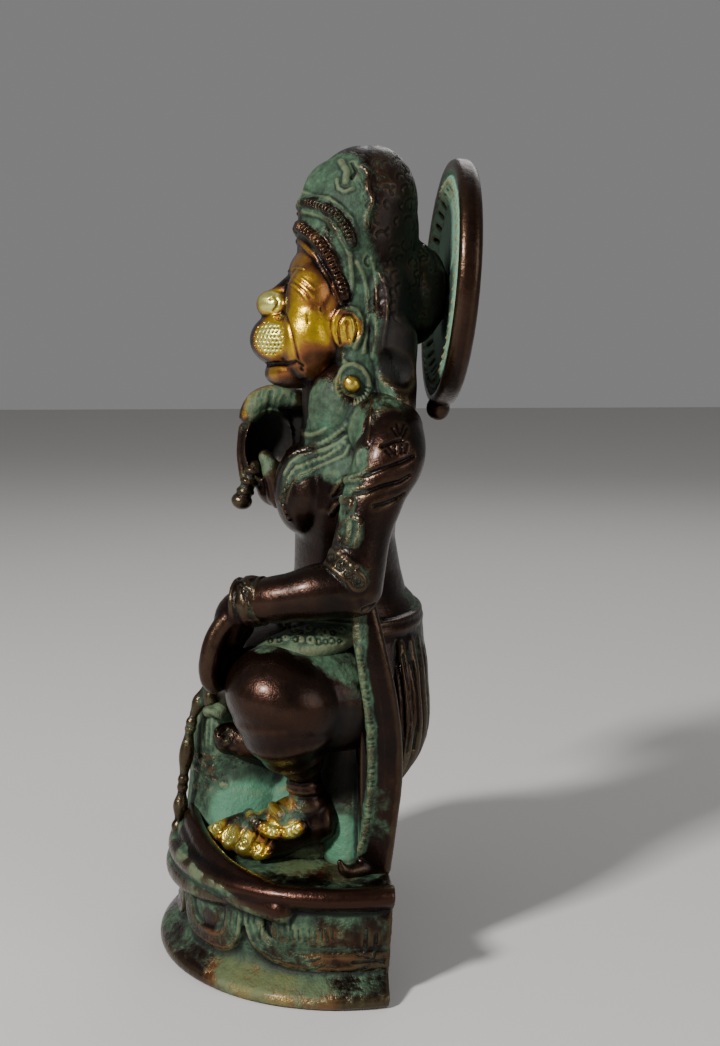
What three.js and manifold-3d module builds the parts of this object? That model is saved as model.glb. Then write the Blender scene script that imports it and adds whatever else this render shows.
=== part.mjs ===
import * as THREE from 'three';
import { mergeVertices } from 'three/addons/utils/BufferGeometryUtils.js';
import Module from 'manifold-3d';

// A seated monkey deity with a halo, cast in one piece with its lotus plinth.
// Millimetres, +Z up, the figure faces -Y and its left side is +X.
// The origin is the middle of the plinth's underside.

const wasm = await Module();
wasm.setup();

const bronzeColour = 0x4a332b;
const triangleLimit = 9900;

const plinth = {
  halfWidth: 45.4,
  halfDepth: 44.4,
  centreY: 18.6,
  backY: 26.5,
  backLean: THREE.MathUtils.degToRad(4),
  topZ: 25,
  petalSpan: Math.PI / 3,
  petalBase: 7.2,
  petalTop: 18.6,
  petalSwell: 1.8,
  stepsPerPetal: 18,
};

// Heights on the figure are counted from this level, so that the plinth can be set on its own.
const figureLevel = -5.5;
const ground = plinth.topZ - figureLevel;

const halo = {
  radius: 31,
  centre: [0, 46.4, 166],
  lean: THREE.MathUtils.degToRad(4.4),
  stepsAround: 30,
  beads: 22,
  beadRing: 25.6,
  beadRadius: 1.3,
};

const torso = {
  middleY: 20.5,
};

const head = {
  middleY: 20.5,
  faceZ: 158,
  domeMiddle: [0, 23.4, 177],
  domeRadii: [17, 15.3, 23.3],
  snoutY: 4.4,
  snoutZ: 151.6,
  earX: 15.8,
};

const seat = {
  topZ: 41,
  wallX: -7,
};

// Steps around and down a ball, by its size.
const large = [12, 8];
const medium = [8, 6];
const small = [6, 4];

const degrees = THREE.MathUtils.degToRad;
const place = (at) => new THREE.Vector3(...at);

// Closed shapes

function facedOutward(geometry) {
  const p = geometry.getAttribute('position');
  const index = geometry.getIndex();
  const a = new THREE.Vector3();
  const b = new THREE.Vector3();
  const c = new THREE.Vector3();
  let volume = 0;
  for (let i = 0; i < index.count; i += 3) {
    a.fromBufferAttribute(p, index.getX(i));
    b.fromBufferAttribute(p, index.getX(i + 1));
    c.fromBufferAttribute(p, index.getX(i + 2));
    volume += a.dot(b.cross(c));
  }
  if (volume < 0) {
    for (let i = 0; i < index.count; i += 3) {
      const first = index.getX(i);
      index.setX(i, index.getX(i + 2));
      index.setX(i + 2, first);
    }
  }
  return geometry;
}

// A skin over rings of equal count, closed by a point at each end.
function loft(rings, firstTip, lastTip) {
  const sides = rings[0].length;
  const points = [...rings.flat(), firstTip, lastTip];
  const faces = [];
  for (let r = 0; r < rings.length - 1; r += 1) {
    for (let s = 0; s < sides; s += 1) {
      const next = (s + 1) % sides;
      const low = r * sides;
      const high = low + sides;
      faces.push(low + s, low + next, high + next);
      faces.push(low + s, high + next, high + s);
    }
  }
  const start = points.length - 2;
  const end = points.length - 1;
  const last = (rings.length - 1) * sides;
  for (let s = 0; s < sides; s += 1) {
    const next = (s + 1) % sides;
    faces.push(start, next, s);
    faces.push(end, last + s, last + next);
  }
  const geometry = new THREE.BufferGeometry().setFromPoints(points);
  geometry.setIndex(faces);
  return facedOutward(geometry);
}

// A round limb through stations of [x, y, z, radius], with round ends.
function limb(stations, sides = 7, stepsPerSpan = 1) {
  const spine = new THREE.CatmullRomCurve3(stations.map((s) => place(s)));
  const widths = new THREE.CatmullRomCurve3(stations.map((s) => new THREE.Vector3(s[3], 0, 0)));
  const steps = (stations.length - 1) * stepsPerSpan;
  const frames = spine.computeFrenetFrames(steps, false);
  const ring = (centre, radius, i) => {
    const points = [];
    for (let s = 0; s < sides; s += 1) {
      const turn = (s / sides) * 2 * Math.PI;
      const across = frames.normals[i].clone().multiplyScalar(radius * Math.cos(turn));
      points.push(across.addScaledVector(frames.binormals[i], radius * Math.sin(turn)).add(centre));
    }
    return points;
  };
  const endScale = Math.SQRT1_2;
  const rings = [];
  for (let i = 0; i <= steps; i += 1) {
    const centre = spine.getPoint(i / steps);
    const radius = widths.getPoint(i / steps).x;
    const along = frames.tangents[i];
    const inset = radius * endScale;
    if (i === 0) rings.push(ring(centre.clone().addScaledVector(along, -inset), inset, i));
    rings.push(ring(centre, radius, i));
    if (i === steps) rings.push(ring(centre.clone().addScaledVector(along, inset), inset, i));
  }
  const first = spine.getPoint(0).addScaledVector(frames.tangents[0], -stations[0][3]);
  const final = spine.getPoint(1).addScaledVector(frames.tangents[steps], stations.at(-1)[3]);
  return loft(rings, first, final);
}

function ball(at, radii, steps = medium, turn = [0, 0, 0]) {
  const geometry = new THREE.SphereGeometry(1, ...steps);
  geometry.rotateX(Math.PI / 2);
  geometry.scale(...radii);
  geometry.rotateX(degrees(turn[0]));
  geometry.rotateY(degrees(turn[1]));
  geometry.rotateZ(degrees(turn[2]));
  geometry.translate(...at);
  return geometry;
}

function bead(at, radius) {
  const geometry = new THREE.IcosahedronGeometry(radius);
  geometry.translate(...at);
  return geometry;
}

function cord(points, radius, steps = 6, sides = 4) {
  const section = new THREE.Shape();
  for (let s = 0; s < sides; s += 1) {
    const turn = (s / sides) * 2 * Math.PI;
    const x = radius * Math.cos(turn);
    const y = radius * Math.sin(turn);
    if (s === 0) section.moveTo(x, y);
    else section.lineTo(x, y);
  }
  section.closePath();
  const extrudePath = new THREE.CatmullRomCurve3(points.map(place));
  return new THREE.ExtrudeGeometry(section, { steps, extrudePath, bevelEnabled: false });
}

// A form of upright ovals of [middle x, middle y, height, half width, half depth], lowest first.
function upright(ovals, sides = 16) {
  const rings = ovals.map(([x, y, height, halfWidth, halfDepth]) => {
    const ring = [];
    for (let s = 0; s < sides; s += 1) {
      const turn = (s / sides) * 2 * Math.PI;
      ring.push(new THREE.Vector3(x + halfWidth * Math.cos(turn), y + halfDepth * Math.sin(turn), height));
    }
    return ring;
  });
  const tip = ([x, y, height], out) => new THREE.Vector3(x, y, height + out);
  return loft(rings, tip(ovals[0], -1), tip(ovals.at(-1), 1));
}

function turned(profile, stepsAround) {
  const points = profile.map(([r, h]) => new THREE.Vector2(r, h));
  const geometry = new THREE.LatheGeometry(points, stepsAround);
  geometry.rotateX(Math.PI / 2);
  return geometry;
}

function slab(low, high) {
  const geometry = new THREE.BoxGeometry(high[0] - low[0], high[1] - low[1], high[2] - low[2]);
  geometry.translate((low[0] + high[0]) / 2, (low[1] + high[1]) / 2, (low[2] + high[2]) / 2);
  return geometry;
}

// Points on part of an upright oval, which sinks in front by drop. Angles run from -180, right, to 0, left.
function ovalPoints(centre, radii, drop, from, to, count) {
  const points = [];
  for (let i = 0; i < count; i += 1) {
    const turn = degrees(from + ((to - from) * i) / (count - 1));
    const forward = Math.max(0, -Math.sin(turn));
    points.push([
      centre[0] + radii[0] * Math.cos(turn),
      centre[1] + radii[1] * Math.sin(turn),
      centre[2] - drop * forward ** 1.3,
    ]);
  }
  return points;
}

// Joins and cuts

function toSolid(geometry) {
  const bare = geometry.clone();
  bare.deleteAttribute('normal');
  bare.deleteAttribute('uv');
  const merged = mergeVertices(bare, 1e-4);
  const vertProperties = Float32Array.from(merged.getAttribute('position').array);
  const index = merged.getIndex().array;
  const kept = [];
  for (let i = 0; i < index.length; i += 3) {
    const [a, b, c] = [index[i], index[i + 1], index[i + 2]];
    if (a !== b && b !== c && c !== a) kept.push(a, b, c);
  }
  const triVerts = Uint32Array.from(kept);
  return new wasm.Manifold(new wasm.Mesh({ numProp: 3, vertProperties, triVerts }));
}

const joined = (shapes) => shapes.map(toSolid).reduce((sum, next) => sum.add(next));

const cutBy = (solid, shapes) => shapes.map(toSolid).reduce((rest, next) => rest.subtract(next), solid);

function toGeometry(solid) {
  const mesh = solid.getMesh();
  const geometry = new THREE.BufferGeometry();
  geometry.setAttribute('position', new THREE.BufferAttribute(Float32Array.from(mesh.vertProperties), 3));
  geometry.setIndex(Array.from(mesh.triVerts));
  geometry.computeVertexNormals();
  return geometry;
}

// Fewer, larger facets

// The squared distance from a point to the planes of a vertex's facets, as ten summed terms.
function planeTerms(a, b, c) {
  const normal = b.clone().sub(a).cross(c.clone().sub(a));
  const doubleArea = normal.length();
  if (doubleArea === 0) return new Float64Array(10);
  normal.divideScalar(doubleArea);
  const { x, y, z } = normal;
  const w = -normal.dot(a);
  const terms = [x * x, x * y, x * z, x * w, y * y, y * z, y * w, z * z, z * w, w * w];
  return Float64Array.from(terms, (term) => term * doubleArea);
}

function planeError(q, p) {
  const { x, y, z } = p;
  return q[0] * x * x + 2 * q[1] * x * y + 2 * q[2] * x * z + 2 * q[3] * x + q[4] * y * y
    + 2 * q[5] * y * z + 2 * q[6] * y + q[7] * z * z + 2 * q[8] * z + q[9];
}

// Closes the edges that change the form least, until the mesh has few enough triangles.
function simplified(geometry, wanted) {
  const position = geometry.getAttribute('position');
  const index = geometry.getIndex().array;
  const points = [];
  for (let i = 0; i < position.count; i += 1) {
    points.push(new THREE.Vector3().fromBufferAttribute(position, i));
  }
  const faces = [];
  const facesOf = points.map(() => new Set());
  const terms = points.map(() => new Float64Array(10));
  for (let i = 0; i < index.length; i += 3) {
    const face = [index[i], index[i + 1], index[i + 2]];
    const plane = planeTerms(...face.map((v) => points[v]));
    face.forEach((v) => {
      facesOf[v].add(faces.length);
      plane.forEach((term, k) => { terms[v][k] += term; });
    });
    faces.push(face);
  }
  const neighbours = (v) => {
    const found = new Set();
    facesOf[v].forEach((f) => faces[f].forEach((other) => found.add(other)));
    found.delete(v);
    return found;
  };
  const smallest = 1e-7;
  const bestClose = (u, v) => {
    const q = terms[u].map((term, k) => term + terms[v][k]);
    const middle = points[u].clone().lerp(points[v], 0.5);
    const span = points[u].distanceToSquared(points[v]) * smallest;
    const choices = [points[u], points[v], middle].map((p) => ({ p, cost: planeError(q, p) + span }));
    return choices.sort((a, b) => a.cost - b.cost)[0];
  };
  const keepsForm = (moved, gone, target) => [...facesOf[moved]].every((f) => {
    if (faces[f].includes(gone)) return true;
    const before = faces[f].map((v) => points[v]);
    const after = faces[f].map((v) => (v === moved ? target : points[v]));
    const oldNormal = before[1].clone().sub(before[0]).cross(before[2].clone().sub(before[0])).normalize();
    const newNormal = after[1].clone().sub(after[0]).cross(after[2].clone().sub(after[0]));
    const longest = Math.max(...after.map((a, k) => a.distanceTo(after[(k + 1) % 3])));
    const thin = newNormal.length() < 0.02 * longest * longest;
    return !thin && newNormal.normalize().dot(oldNormal) > 0.35;
  });
  let count = faces.length;
  let limit = 1e-6;
  while (count > wanted) {
    for (let u = 0; u < points.length && count > wanted; u += 1) {
      if (facesOf[u].size === 0) continue;
      for (const v of neighbours(u)) {
        const { p, cost } = bestClose(u, v);
        if (cost > limit) continue;
        const around = neighbours(v);
        const shared = [...neighbours(u)].filter((other) => around.has(other));
        if (shared.length !== 2 || !keepsForm(u, v, p) || !keepsForm(v, u, p)) continue;
        points[u] = p.clone();
        terms[v].forEach((term, k) => { terms[u][k] += term; });
        for (const f of [...facesOf[v]]) {
          if (faces[f].includes(u)) {
            faces[f].forEach((other) => facesOf[other].delete(f));
            faces[f] = null;
            count -= 1;
          } else {
            faces[f] = faces[f].map((other) => (other === v ? u : other));
            facesOf[u].add(f);
          }
        }
        facesOf[v].clear();
        break;
      }
    }
    limit *= 1.35;
  }
  // Two facets back to back on the same three corners hold nothing between them.
  const left = faces.filter((face) => face !== null);
  const corners = (face) => face.toSorted((a, b) => a - b).join();
  const uses = new Map();
  left.forEach((face) => uses.set(corners(face), (uses.get(corners(face)) ?? 0) + 1));
  const slim = new THREE.BufferGeometry().setFromPoints(points);
  slim.setIndex(left.filter((face) => uses.get(corners(face)) === 1).flat());
  slim.computeVertexNormals();
  return slim;
}

// The plinth: a drum with a round lip above, large hanging lotus petals and a round foot

// A petal's height over the drum, where side runs -1 to 1 across it and rise 0 to 1 up it.
function petalRelief(side, rise) {
  const width = Math.sqrt(Math.max(0, 1 - (1 - Math.min(1, rise * 2.2)) ** 2));
  const inside = 1 - Math.abs(side) / Math.max(0.05, 0.96 * width);
  if (inside <= 0) return 0;
  return Math.min(1, inside * 6) * (0.78 + 0.22 * Math.cos(inside * 4.4 * Math.PI));
}

function plinthOffset(turn, height) {
  const { petalBase, petalTop, petalSpan, petalSwell } = plinth;
  const rise = (height - petalBase) / (petalTop - petalBase);
  if (rise < 0 || rise > 1) return 0;
  const fromMiddle = THREE.MathUtils.euclideanModulo(turn + petalSpan / 2, petalSpan) - petalSpan / 2;
  return petalSwell * petalRelief((fromMiddle / petalSpan) * 2, rise);
}

function plinthRing(height, inset) {
  const sides = plinth.stepsPerPetal * Math.round((2 * Math.PI) / plinth.petalSpan);
  const points = [];
  for (let s = 0; s < sides; s += 1) {
    const turn = (s / sides) * 2 * Math.PI;
    const out = inset + plinthOffset(turn, height);
    points.push(new THREE.Vector3(
      (plinth.halfWidth + out) * Math.cos(turn),
      plinth.centreY + (plinth.halfDepth + out) * Math.sin(turn),
      height,
    ));
  }
  return points;
}

function plinthBody() {
  const profile = [
    [0, -1], [1.4, 0], [3, 0], [4.6, -1.6], [6.2, -4.6], [8, -5.4], [9.4, -5.6], [11, -5.8],
    [12.8, -5.8], [14.6, -5.8], [16.6, -5.8], [18.6, -5.4], [19.2, -4.6], [20.4, -3], [22.4, -2],
    [24.6, -3], [25.4, -4.6], [24.6, -7],
  ];
  const rings = profile.map(([height, inset]) => plinthRing(height, inset));
  const low = new THREE.Vector3(0, plinth.centreY, 0);
  const high = new THREE.Vector3(0, plinth.centreY, plinth.topZ);
  return loft(rings, low, high);
}

// A crescent lip that hangs over the front of the rim, deepest in the middle.
function frontLip() {
  const stations = [];
  const steps = 8;
  for (let i = 0; i <= steps; i += 1) {
    const across = (i / steps) * 2 - 1;
    const turn = -Math.PI / 2 + across * degrees(58);
    const depth = Math.cos((across * Math.PI) / 2);
    stations.push([
      (plinth.halfWidth - 4) * Math.cos(turn),
      plinth.centreY + (plinth.halfDepth - 6.4 + depth) * Math.sin(turn),
      20.4 - 1.6 * depth,
      1.2 + 2.4 * depth,
    ]);
  }
  return limb(stations, 7);
}

// All that lies behind the plinth's flat back, which leans, from a level upward or downward.
function behindBack(level) {
  const cutter = slab([-60, 0, -80], [60, 60, 49]);
  cutter.rotateX(-plinth.backLean);
  cutter.translate(0, plinth.backY, level);
  return cutter;
}

function buildPlinth() {
  return cutBy(joined([plinthBody(), frontLip()]), [behindBack(0)]);
}

// The seat block and the pleated cloth that hangs in front of it

function buildSeat() {
  const under = ground - 2;
  const block = [
    limb([
      [seat.wallX - 6, -9, 34.6, 6.4], [-24, -8, 34.6, 6.4], [-32, 4, 34.6, 6.4], [-32.6, 17, 34.6, 6],
    ], 8),
    slab([-32, -6, under], [seat.wallX - 1, 24, seat.topZ - 1]),
    slab([-30, 10, under], [12, 24, seat.topZ + 6]),
    ball([0, 21, 41], [27, 13, 16], large),
  ];
  block[3] = toGeometry(cutBy(toSolid(block[3]), [behindBack(-figureLevel)]));
  const cloth = [
    upright([
      [-6, -3.4, under, 20.5, 15.2], [-7.4, -3.4, 31, 18.4, 15], [-8.4, -3.2, 38, 15.6, 14.8],
      [-8.6, -3, 45, 13.4, 14.2], [-8.4, -2.4, 51, 11.4, 13], [-8, -2, 55, 8.4, 11],
    ]),
    cord([[-3, -13, 56], [1.4, -12.2, 56.4], [2.4, -9.6, 56.4], [2, -6.6, 55.6]], 1.4, 5),
    limb([[-4, -9, 57, 4.4], [-2, -9.4, 61, 3.6], [0, -10, 65, 3.2]], 6),
  ];
  return [...block, ...cloth];
}

// The strand of long and round beads from the left fingertips down to the lip

function buildStrand() {
  const longBeads = [
    [[0, -14.2, 65.6], [0, -17.6, 58.6]],
    [[0, -18.4, 55.4], [0, -19.8, 43.6]],
    [[0, -20.2, 40.4], [0, -21, 33]],
  ];
  const parts = longBeads.map(([a, b]) => {
    const middle = place(a).lerp(place(b), 0.5).toArray();
    return limb([[...a, 1], [...middle, 1.8], [...b, 1]], 6);
  });
  for (const at of [[0, -18, 57], [0, -20, 42], [0, -21.2, 31]]) {
    parts.push(ball(at, [1.7, 1.7, 1.6], small));
  }
  parts.push(limb([[0, -21.2, 30.6, 1.8], [0, -20, 26, 2.6]], 6));
  parts.push(limb([[0, -14, 66, 1.7], [5, -12.6, 68, 2.2], [13, -12, 71, 2.6]], 6));
  return parts;
}

// Legs: the left knee is raised with its foot on the plinth, the right leg lies folded on the seat

function toes(at, step, count, radius, length) {
  const parts = [];
  for (let i = 0; i < count; i += 1) {
    const r = radius * (1 - 0.08 * i);
    const tip = at.map((v, k) => v + step[k] * i);
    const root = tip.map((v, k) => v + length[k]);
    parts.push(limb([[...root, r * 0.9], [...tip, r]], 6));
  }
  return parts;
}

function buildLegs() {
  const leftFoot = [
    limb([[20.2, 11, 42, 5.4], [19.4, 8.6, 38.4, 6.2], [17, 2, 35, 6], [15.6, -3, 33, 5]], 8, 2),
    cord([[17.6, 6.4, 50], [20.6, 5, 50], [24, 7, 50], [24.2, 11, 50], [21, 13, 50]], 0.9),
    cord([
      [17.4, 6.2, 47.6], [20.6, 4.6, 47.6], [24.4, 7, 47.6], [24.4, 11.2, 47.6], [21, 13.4, 47.6],
    ], 0.9),
    ...toes([8.9, -12.4, 32], [3.2, 2.7, -0.1], 5, 2.5, [1.6, 5.4, 2.4]),
  ];
  const leaves = 9;
  for (let i = 0; i < leaves; i += 1) {
    const turn = degrees(-70 + i * 17.5);
    const round = Math.cos(turn);
    leftFoot.push(bead([13.4 + i * 1.2, -3.6 - 4.2 * round + i * 0.9, 38.2 - 2.6 * round], 1.3));
  }
  const rightFoot = [
    limb([
      [-31, 10, 49, 10], [-26, -1, 49.5, 8.2], [-14, -6, 49.5, 6.4], [-5, -6.4, 49.4, 5.4],
      [1, -6.2, 50.2, 4.8],
    ], 8),
    ...toes([7, -9.4, 51.6], [0.2, 2.6, -0.4], 3, 2.2, [-2, 0.6, -0.8]),
  ];
  return [
    ball([24, 5, 69], [15, 14.8, 11.6], [14, 9], [-18, 0, 0]),
    limb([[14, 25, 66, 13.6], [21, 17, 68, 12.8], [24, 8, 69, 11.4]], 10),
    limb([
      [24, 6.4, 63.4, 10.6], [23.6, 7, 59, 8.2], [22.6, 8, 55.4, 6], [21.2, 8.6, 52, 4.2],
      [20.6, 8.8, 49, 3.6], [20.4, 9.2, 46, 3.9], [20.2, 9.8, 43, 5],
    ], 9),
    ball([3, 5, 73], [19, 13.5, 9.5], large, [-14, 0, 0]),
    limb([[12, -4, 72, 6.5], [2, -6, 66, 6.5], [-10, -4, 60, 7]], 8),
    limb([[-15, 25, 60, 14.4], [-27, 18, 54, 13], [-31.5, 9, 50.5, 10.6]], 10),
    ...leftFoot,
    ...rightFoot,
  ];
}

// The waist cloth: scalloped belt, folds over the left thigh and a fan of pleats behind

function buildSkirt() {
  const parts = [];
  const backPleats = 9;
  for (let i = 0; i < backPleats; i += 1) {
    const across = (i / (backPleats - 1)) * 2 - 1;
    const round = Math.sqrt(1 - 0.6 * across * across);
    parts.push(limb([
      [16 * across, 19 + 17 * round, 77, 1.6],
      [19.6 * across, 20.6 + 17.4 * round, 66, 2.4],
      [22 * across, 21 + 17 * round, 55, 2.6],
      [22 * across, 19.6 + 13 * round, 46.4, 2],
    ], 5));
  }
  const scallops = 16;
  for (let i = 0; i < scallops; i += 1) {
    const turn = (i / scallops) * 2 * Math.PI;
    const [across, round] = [Math.cos(turn), Math.sin(turn)];
    const at = [20.4 * across, torso.middleY + 0.2 + 15.6 * round, 83.4 - 1.2 * across];
    parts.push(ball(at, [3.4, 3, 2.6], small));
  }
  parts.push(ball([20, 9, 79.6], [8.6, 13, 4.6], medium, [12, 0, 0]));
  parts.push(ball([-22, 12, 68], [8, 12, 4.6], medium, [20, 0, 0]));
  return parts;
}

// The long scarf that falls from the left elbow to the plinth and ends in a curl

function buildScarf() {
  const band = { halfWidth: 4.6, halfThickness: 1.8, ribs: 3 };
  const outline = [[-band.halfThickness, -band.halfWidth]];
  for (let i = 0; i <= band.ribs * 2; i += 1) {
    const y = -band.halfWidth + (i / (band.ribs * 2)) * 2 * band.halfWidth;
    outline.push([i % 2 === 0 ? band.halfThickness : band.halfThickness * 0.6, y]);
  }
  outline.push([-band.halfThickness, band.halfWidth]);
  const fall = new THREE.CatmullRomCurve3([
    [29.5, 22.8, 91], [30, 23.8, 80], [30, 26.2, 66], [29.6, 27, 52], [28.6, 25.8, 40], [28, 24.4, 29.5],
  ].map(place));
  const steps = 7;
  const rings = [];
  for (let i = 0; i <= steps; i += 1) {
    const at = fall.getPoint(i / steps);
    rings.push(outline.map(([x, y]) => new THREE.Vector3(at.x + x, at.y + y, at.z)));
  }
  return [
    loft(rings, fall.getPoint(0), fall.getPoint(1)),
    limb([[27, 26.2, 31, 1.6], [28.6, 21.6, 30.2, 2.1], [31, 17.6, 31, 1.5]], 6),
    slab([12, 20.6, ground - 1], [26.6, 26, 62]),
  ];
}

// Torso with pectoral, collar and necklaces

function buildTrunk() {
  return upright([
    [50, 19, 12, 1.5], [56, 21.6, 14.4, 1.5], [64, 24, 16.8, 1.5], [72, 24, 17, 1.5], [80, 21, 16, 1],
    [87, 18.8, 14.8, 0.8], [95, 17.4, 13.4, 0.2], [103, 18.8, 12.6, -0.4], [111, 21.6, 13.6, -0.8],
    [120, 22.4, 14.6, 1.2], [128, 18.8, 13.8, 2.2], [134, 14.2, 12.8, 1.6], [142, 13.2, 12.2, 0.8],
    [150, 12.2, 11.6, 0],
  ].map(([height, halfWidth, halfDepth, back]) => [0, torso.middleY + back, height, halfWidth, halfDepth]));
}

function beadsAlong(points, radius) {
  return points.map((at) => bead(at, radius));
}

function buildTorso() {
  const y = torso.middleY;
  const parts = [
    buildTrunk(),
    ball([0, y + 10, 126], [20, 7.8, 12.2], medium),
    limb([[-20, 28, 130, 8.8], [0, 27, 132, 10.2], [20, 28, 130, 8.8]], 8),
  ];
  for (const side of [-1, 1]) {
    parts.push(ball([side * 8, 10.6, 115], [9.8, 8.1, 11.2], medium, [-10, 0, side * 10]));
    parts.push(ball([side * 10, 19, 135], [8.8, 8.8, 12.2], medium));
  }
  const necklace = [
    cord(ovalPoints([0, y, 133.4], [14.8, 12.4], 3.4, -175, -5, 9), 1.1, 8),
    cord(ovalPoints([0, y, 129.8], [18.6, 15.2], 6.6, -170, -10, 9), 0.9, 8),
    cord(ovalPoints([0, y, 125.6], [20.6, 17.6], 9.4, -160, -20, 9), 0.9, 8),
    ...beadsAlong(ovalPoints([0, y, 131.4], [16.4, 12.6], 5, -168, -12, 13), 1.5),
    ...beadsAlong(ovalPoints([0, y, 128], [18.6, 14.2], 8, -160, -20, 15), 1.6),
  ];
  parts.push(...necklace);
  const pendantRows = 6;
  for (let i = 0; i < pendantRows; i += 1) {
    const fall = i / (pendantRows - 1);
    for (const side of [-1, 1]) {
      const at = [side * (6 - 4 * fall), 4.6 + 1.4 * fall ** 3, 117 - 11 * fall];
      parts.push(bead(at, 1.5));
    }
  }
  return parts;
}

// Arms

function buildLeftArm() {
  const parts = [
    limb([
      [19, 29, 130.6, 8.4], [24.6, 28.6, 124.6, 8.6], [27, 24.8, 115.6, 7.3], [28.2, 22.2, 107, 6.6],
      [28.8, 20.4, 98, 6.9], [29, 19.8, 94.4, 7],
    ], 9),
    limb([[29, 19.6, 94.6, 7], [28.6, 12.6, 93.8, 6.8], [26.6, 4, 92, 5.8], [22.8, -4, 90.8, 5]], 9),
  ];
  const leafRows = 3;
  for (let i = 0; i < leafRows; i += 1) {
    parts.push(ball([31.4, 17.4 - i * 0.7, 107 - i * 3.4], [3.2, 2.6, 3 - i * 0.3], small, [0, 0, 30]));
  }
  const armletBeads = 11;
  for (let i = 0; i < armletBeads; i += 1) {
    const turn = (i / armletBeads) * 2 * Math.PI;
    parts.push(bead([28.8 + 7 * Math.cos(turn), 20.2 + 7 * Math.sin(turn), 99 - 3.4 * Math.sin(turn)], 1.5));
  }
  return parts;
}

function bracelet(at, radius, along, count) {
  const axis = place(along).normalize();
  const side = new THREE.Vector3(0, 0, 1).cross(axis).normalize();
  const up = axis.clone().cross(side);
  const around = (turn, shift) => place(at)
    .addScaledVector(axis, shift)
    .addScaledVector(side, radius * Math.cos(turn))
    .addScaledVector(up, radius * Math.sin(turn))
    .toArray();
  const parts = [];
  for (const shift of [-2.3, 2.3]) {
    const points = [];
    for (let i = 0; i <= 6; i += 1) points.push(around((i / 6) * 1.9 * Math.PI, shift));
    parts.push(cord(points, 1, 8, 3));
  }
  for (let i = 0; i < count; i += 1) parts.push(bead(around((i / count) * 2 * Math.PI, 0), 2));
  return parts;
}

function buildLeftHand() {
  const parts = [
    limb([[22.6, -3, 89.8, 5.1], [21.6, -6.4, 88.4, 4.7], [20, -8.8, 83, 4.1]], 8),
    ...bracelet([22.8, -3.2, 90.8], 5.2, [0.42, 0.9, 0.1], 8),
  ];
  const fingers = 4;
  for (let i = 0; i < fingers; i += 1) {
    const x = 23 - i * 2.9;
    const y = i;
    parts.push(limb([
      [x, -5.7 + y, 89.4, 3.1], [x + 0.4, -10.8 + y, 84, 2.6], [x + 0.4, -13 + y, 77.6, 2.5],
      [x - 0.4, -13 + y, 73, 2.3], [x - 1.2, -12 + y, 71.2, 2.1],
    ], 6));
  }
  parts.push(limb([[17.2, -5, 84, 2.7], [13.8, -7.4, 79, 2.5], [13, -8.4, 73, 2.1]], 6));
  return parts;
}

// Three slanting cuts round the left upper arm, where the scarf is wound about it.
function armCuts() {
  const cuts = { count: 3, topZ: 121, step: 4, steps: 5, radius: 7.6 };
  const parts = [];
  for (let i = 0; i < cuts.count; i += 1) {
    const points = [];
    for (let k = 0; k <= cuts.steps; k += 1) {
      const along = k / cuts.steps;
      const turn = degrees(-70 + 110 * along);
      const z = cuts.topZ - i * cuts.step - 5 + 7 * along;
      const middle = [28.2 - 0.2 * (z - 107), 22.2 + 0.36 * (z - 107)];
      const [out, back] = [cuts.radius * Math.cos(turn), cuts.radius * Math.sin(turn)];
      points.push([middle[0] + out, middle[1] + back, z]);
    }
    parts.push(cord(points, 0.8, 8));
  }
  return parts;
}

// The raised right hand is cupped round the mace, whose ringed grip end shows below it

function buildMace() {
  const lean = 12;
  const profile = [
    [0, -2.8], [2.7, -1.6], [2.9, 0], [2, 1.4], [2.8, 2.6], [2, 3.8], [2.9, 5.2], [2, 6.6],
    [2.7, 8.4], [1.9, 10], [0, 12],
  ];
  const mace = turned(profile, 12);
  mace.rotateX(degrees(-lean));
  mace.translate(-18, -5.4, 109.4);
  return mace;
}

function buildRightHand() {
  const cupped = cutBy(
    joined([
      ball([-20.5, 0.8, 124.6], [7.4, 7.3, 12.6], large, [-3, 0, 0]),
      ball([-20, 4.8, 135], [8, 10.8, 4.2], large, [6, 0, 0]),
      ball([-20, 3.4, 113.4], [5.6, 5.4, 5.8], medium),
    ]),
    [
      ball([-13.6, 0.6, 125.6], [7, 5, 8.4], large, [-3, 0, 0]),
      ball([-12.8, 6.8, 132.2], [6.6, 7.2, 3.2], medium, [14, 0, 0]),
    ],
  );
  return [
    toGeometry(cupped),
    limb([[-16, 4, 111, 3.7], [-15.6, 2, 117.6, 3.2], [-16.6, -0.6, 123.6, 2]], 6),
  ];
}

function buildRightArm() {
  return [
    limb([[-19, 29.4, 131, 8.2], [-25, 28, 122, 8.2], [-29, 23, 112, 8], [-30.4, 18, 106, 7.8]], 9),
    limb([[-30.6, 17, 105, 7.6], [-28, 9, 108.6, 6.6], [-23, 2, 114, 5.6]], 9),
    ...buildRightHand(),
    buildMace(),
    ...bracelet([-24, 5.4, 110.6], 6.2, [0.5, -0.68, 0.54], 8),
  ];
}

// Head: monkey face with a round snout, ears with hanging jewels, hair dome with diadem bands

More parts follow.
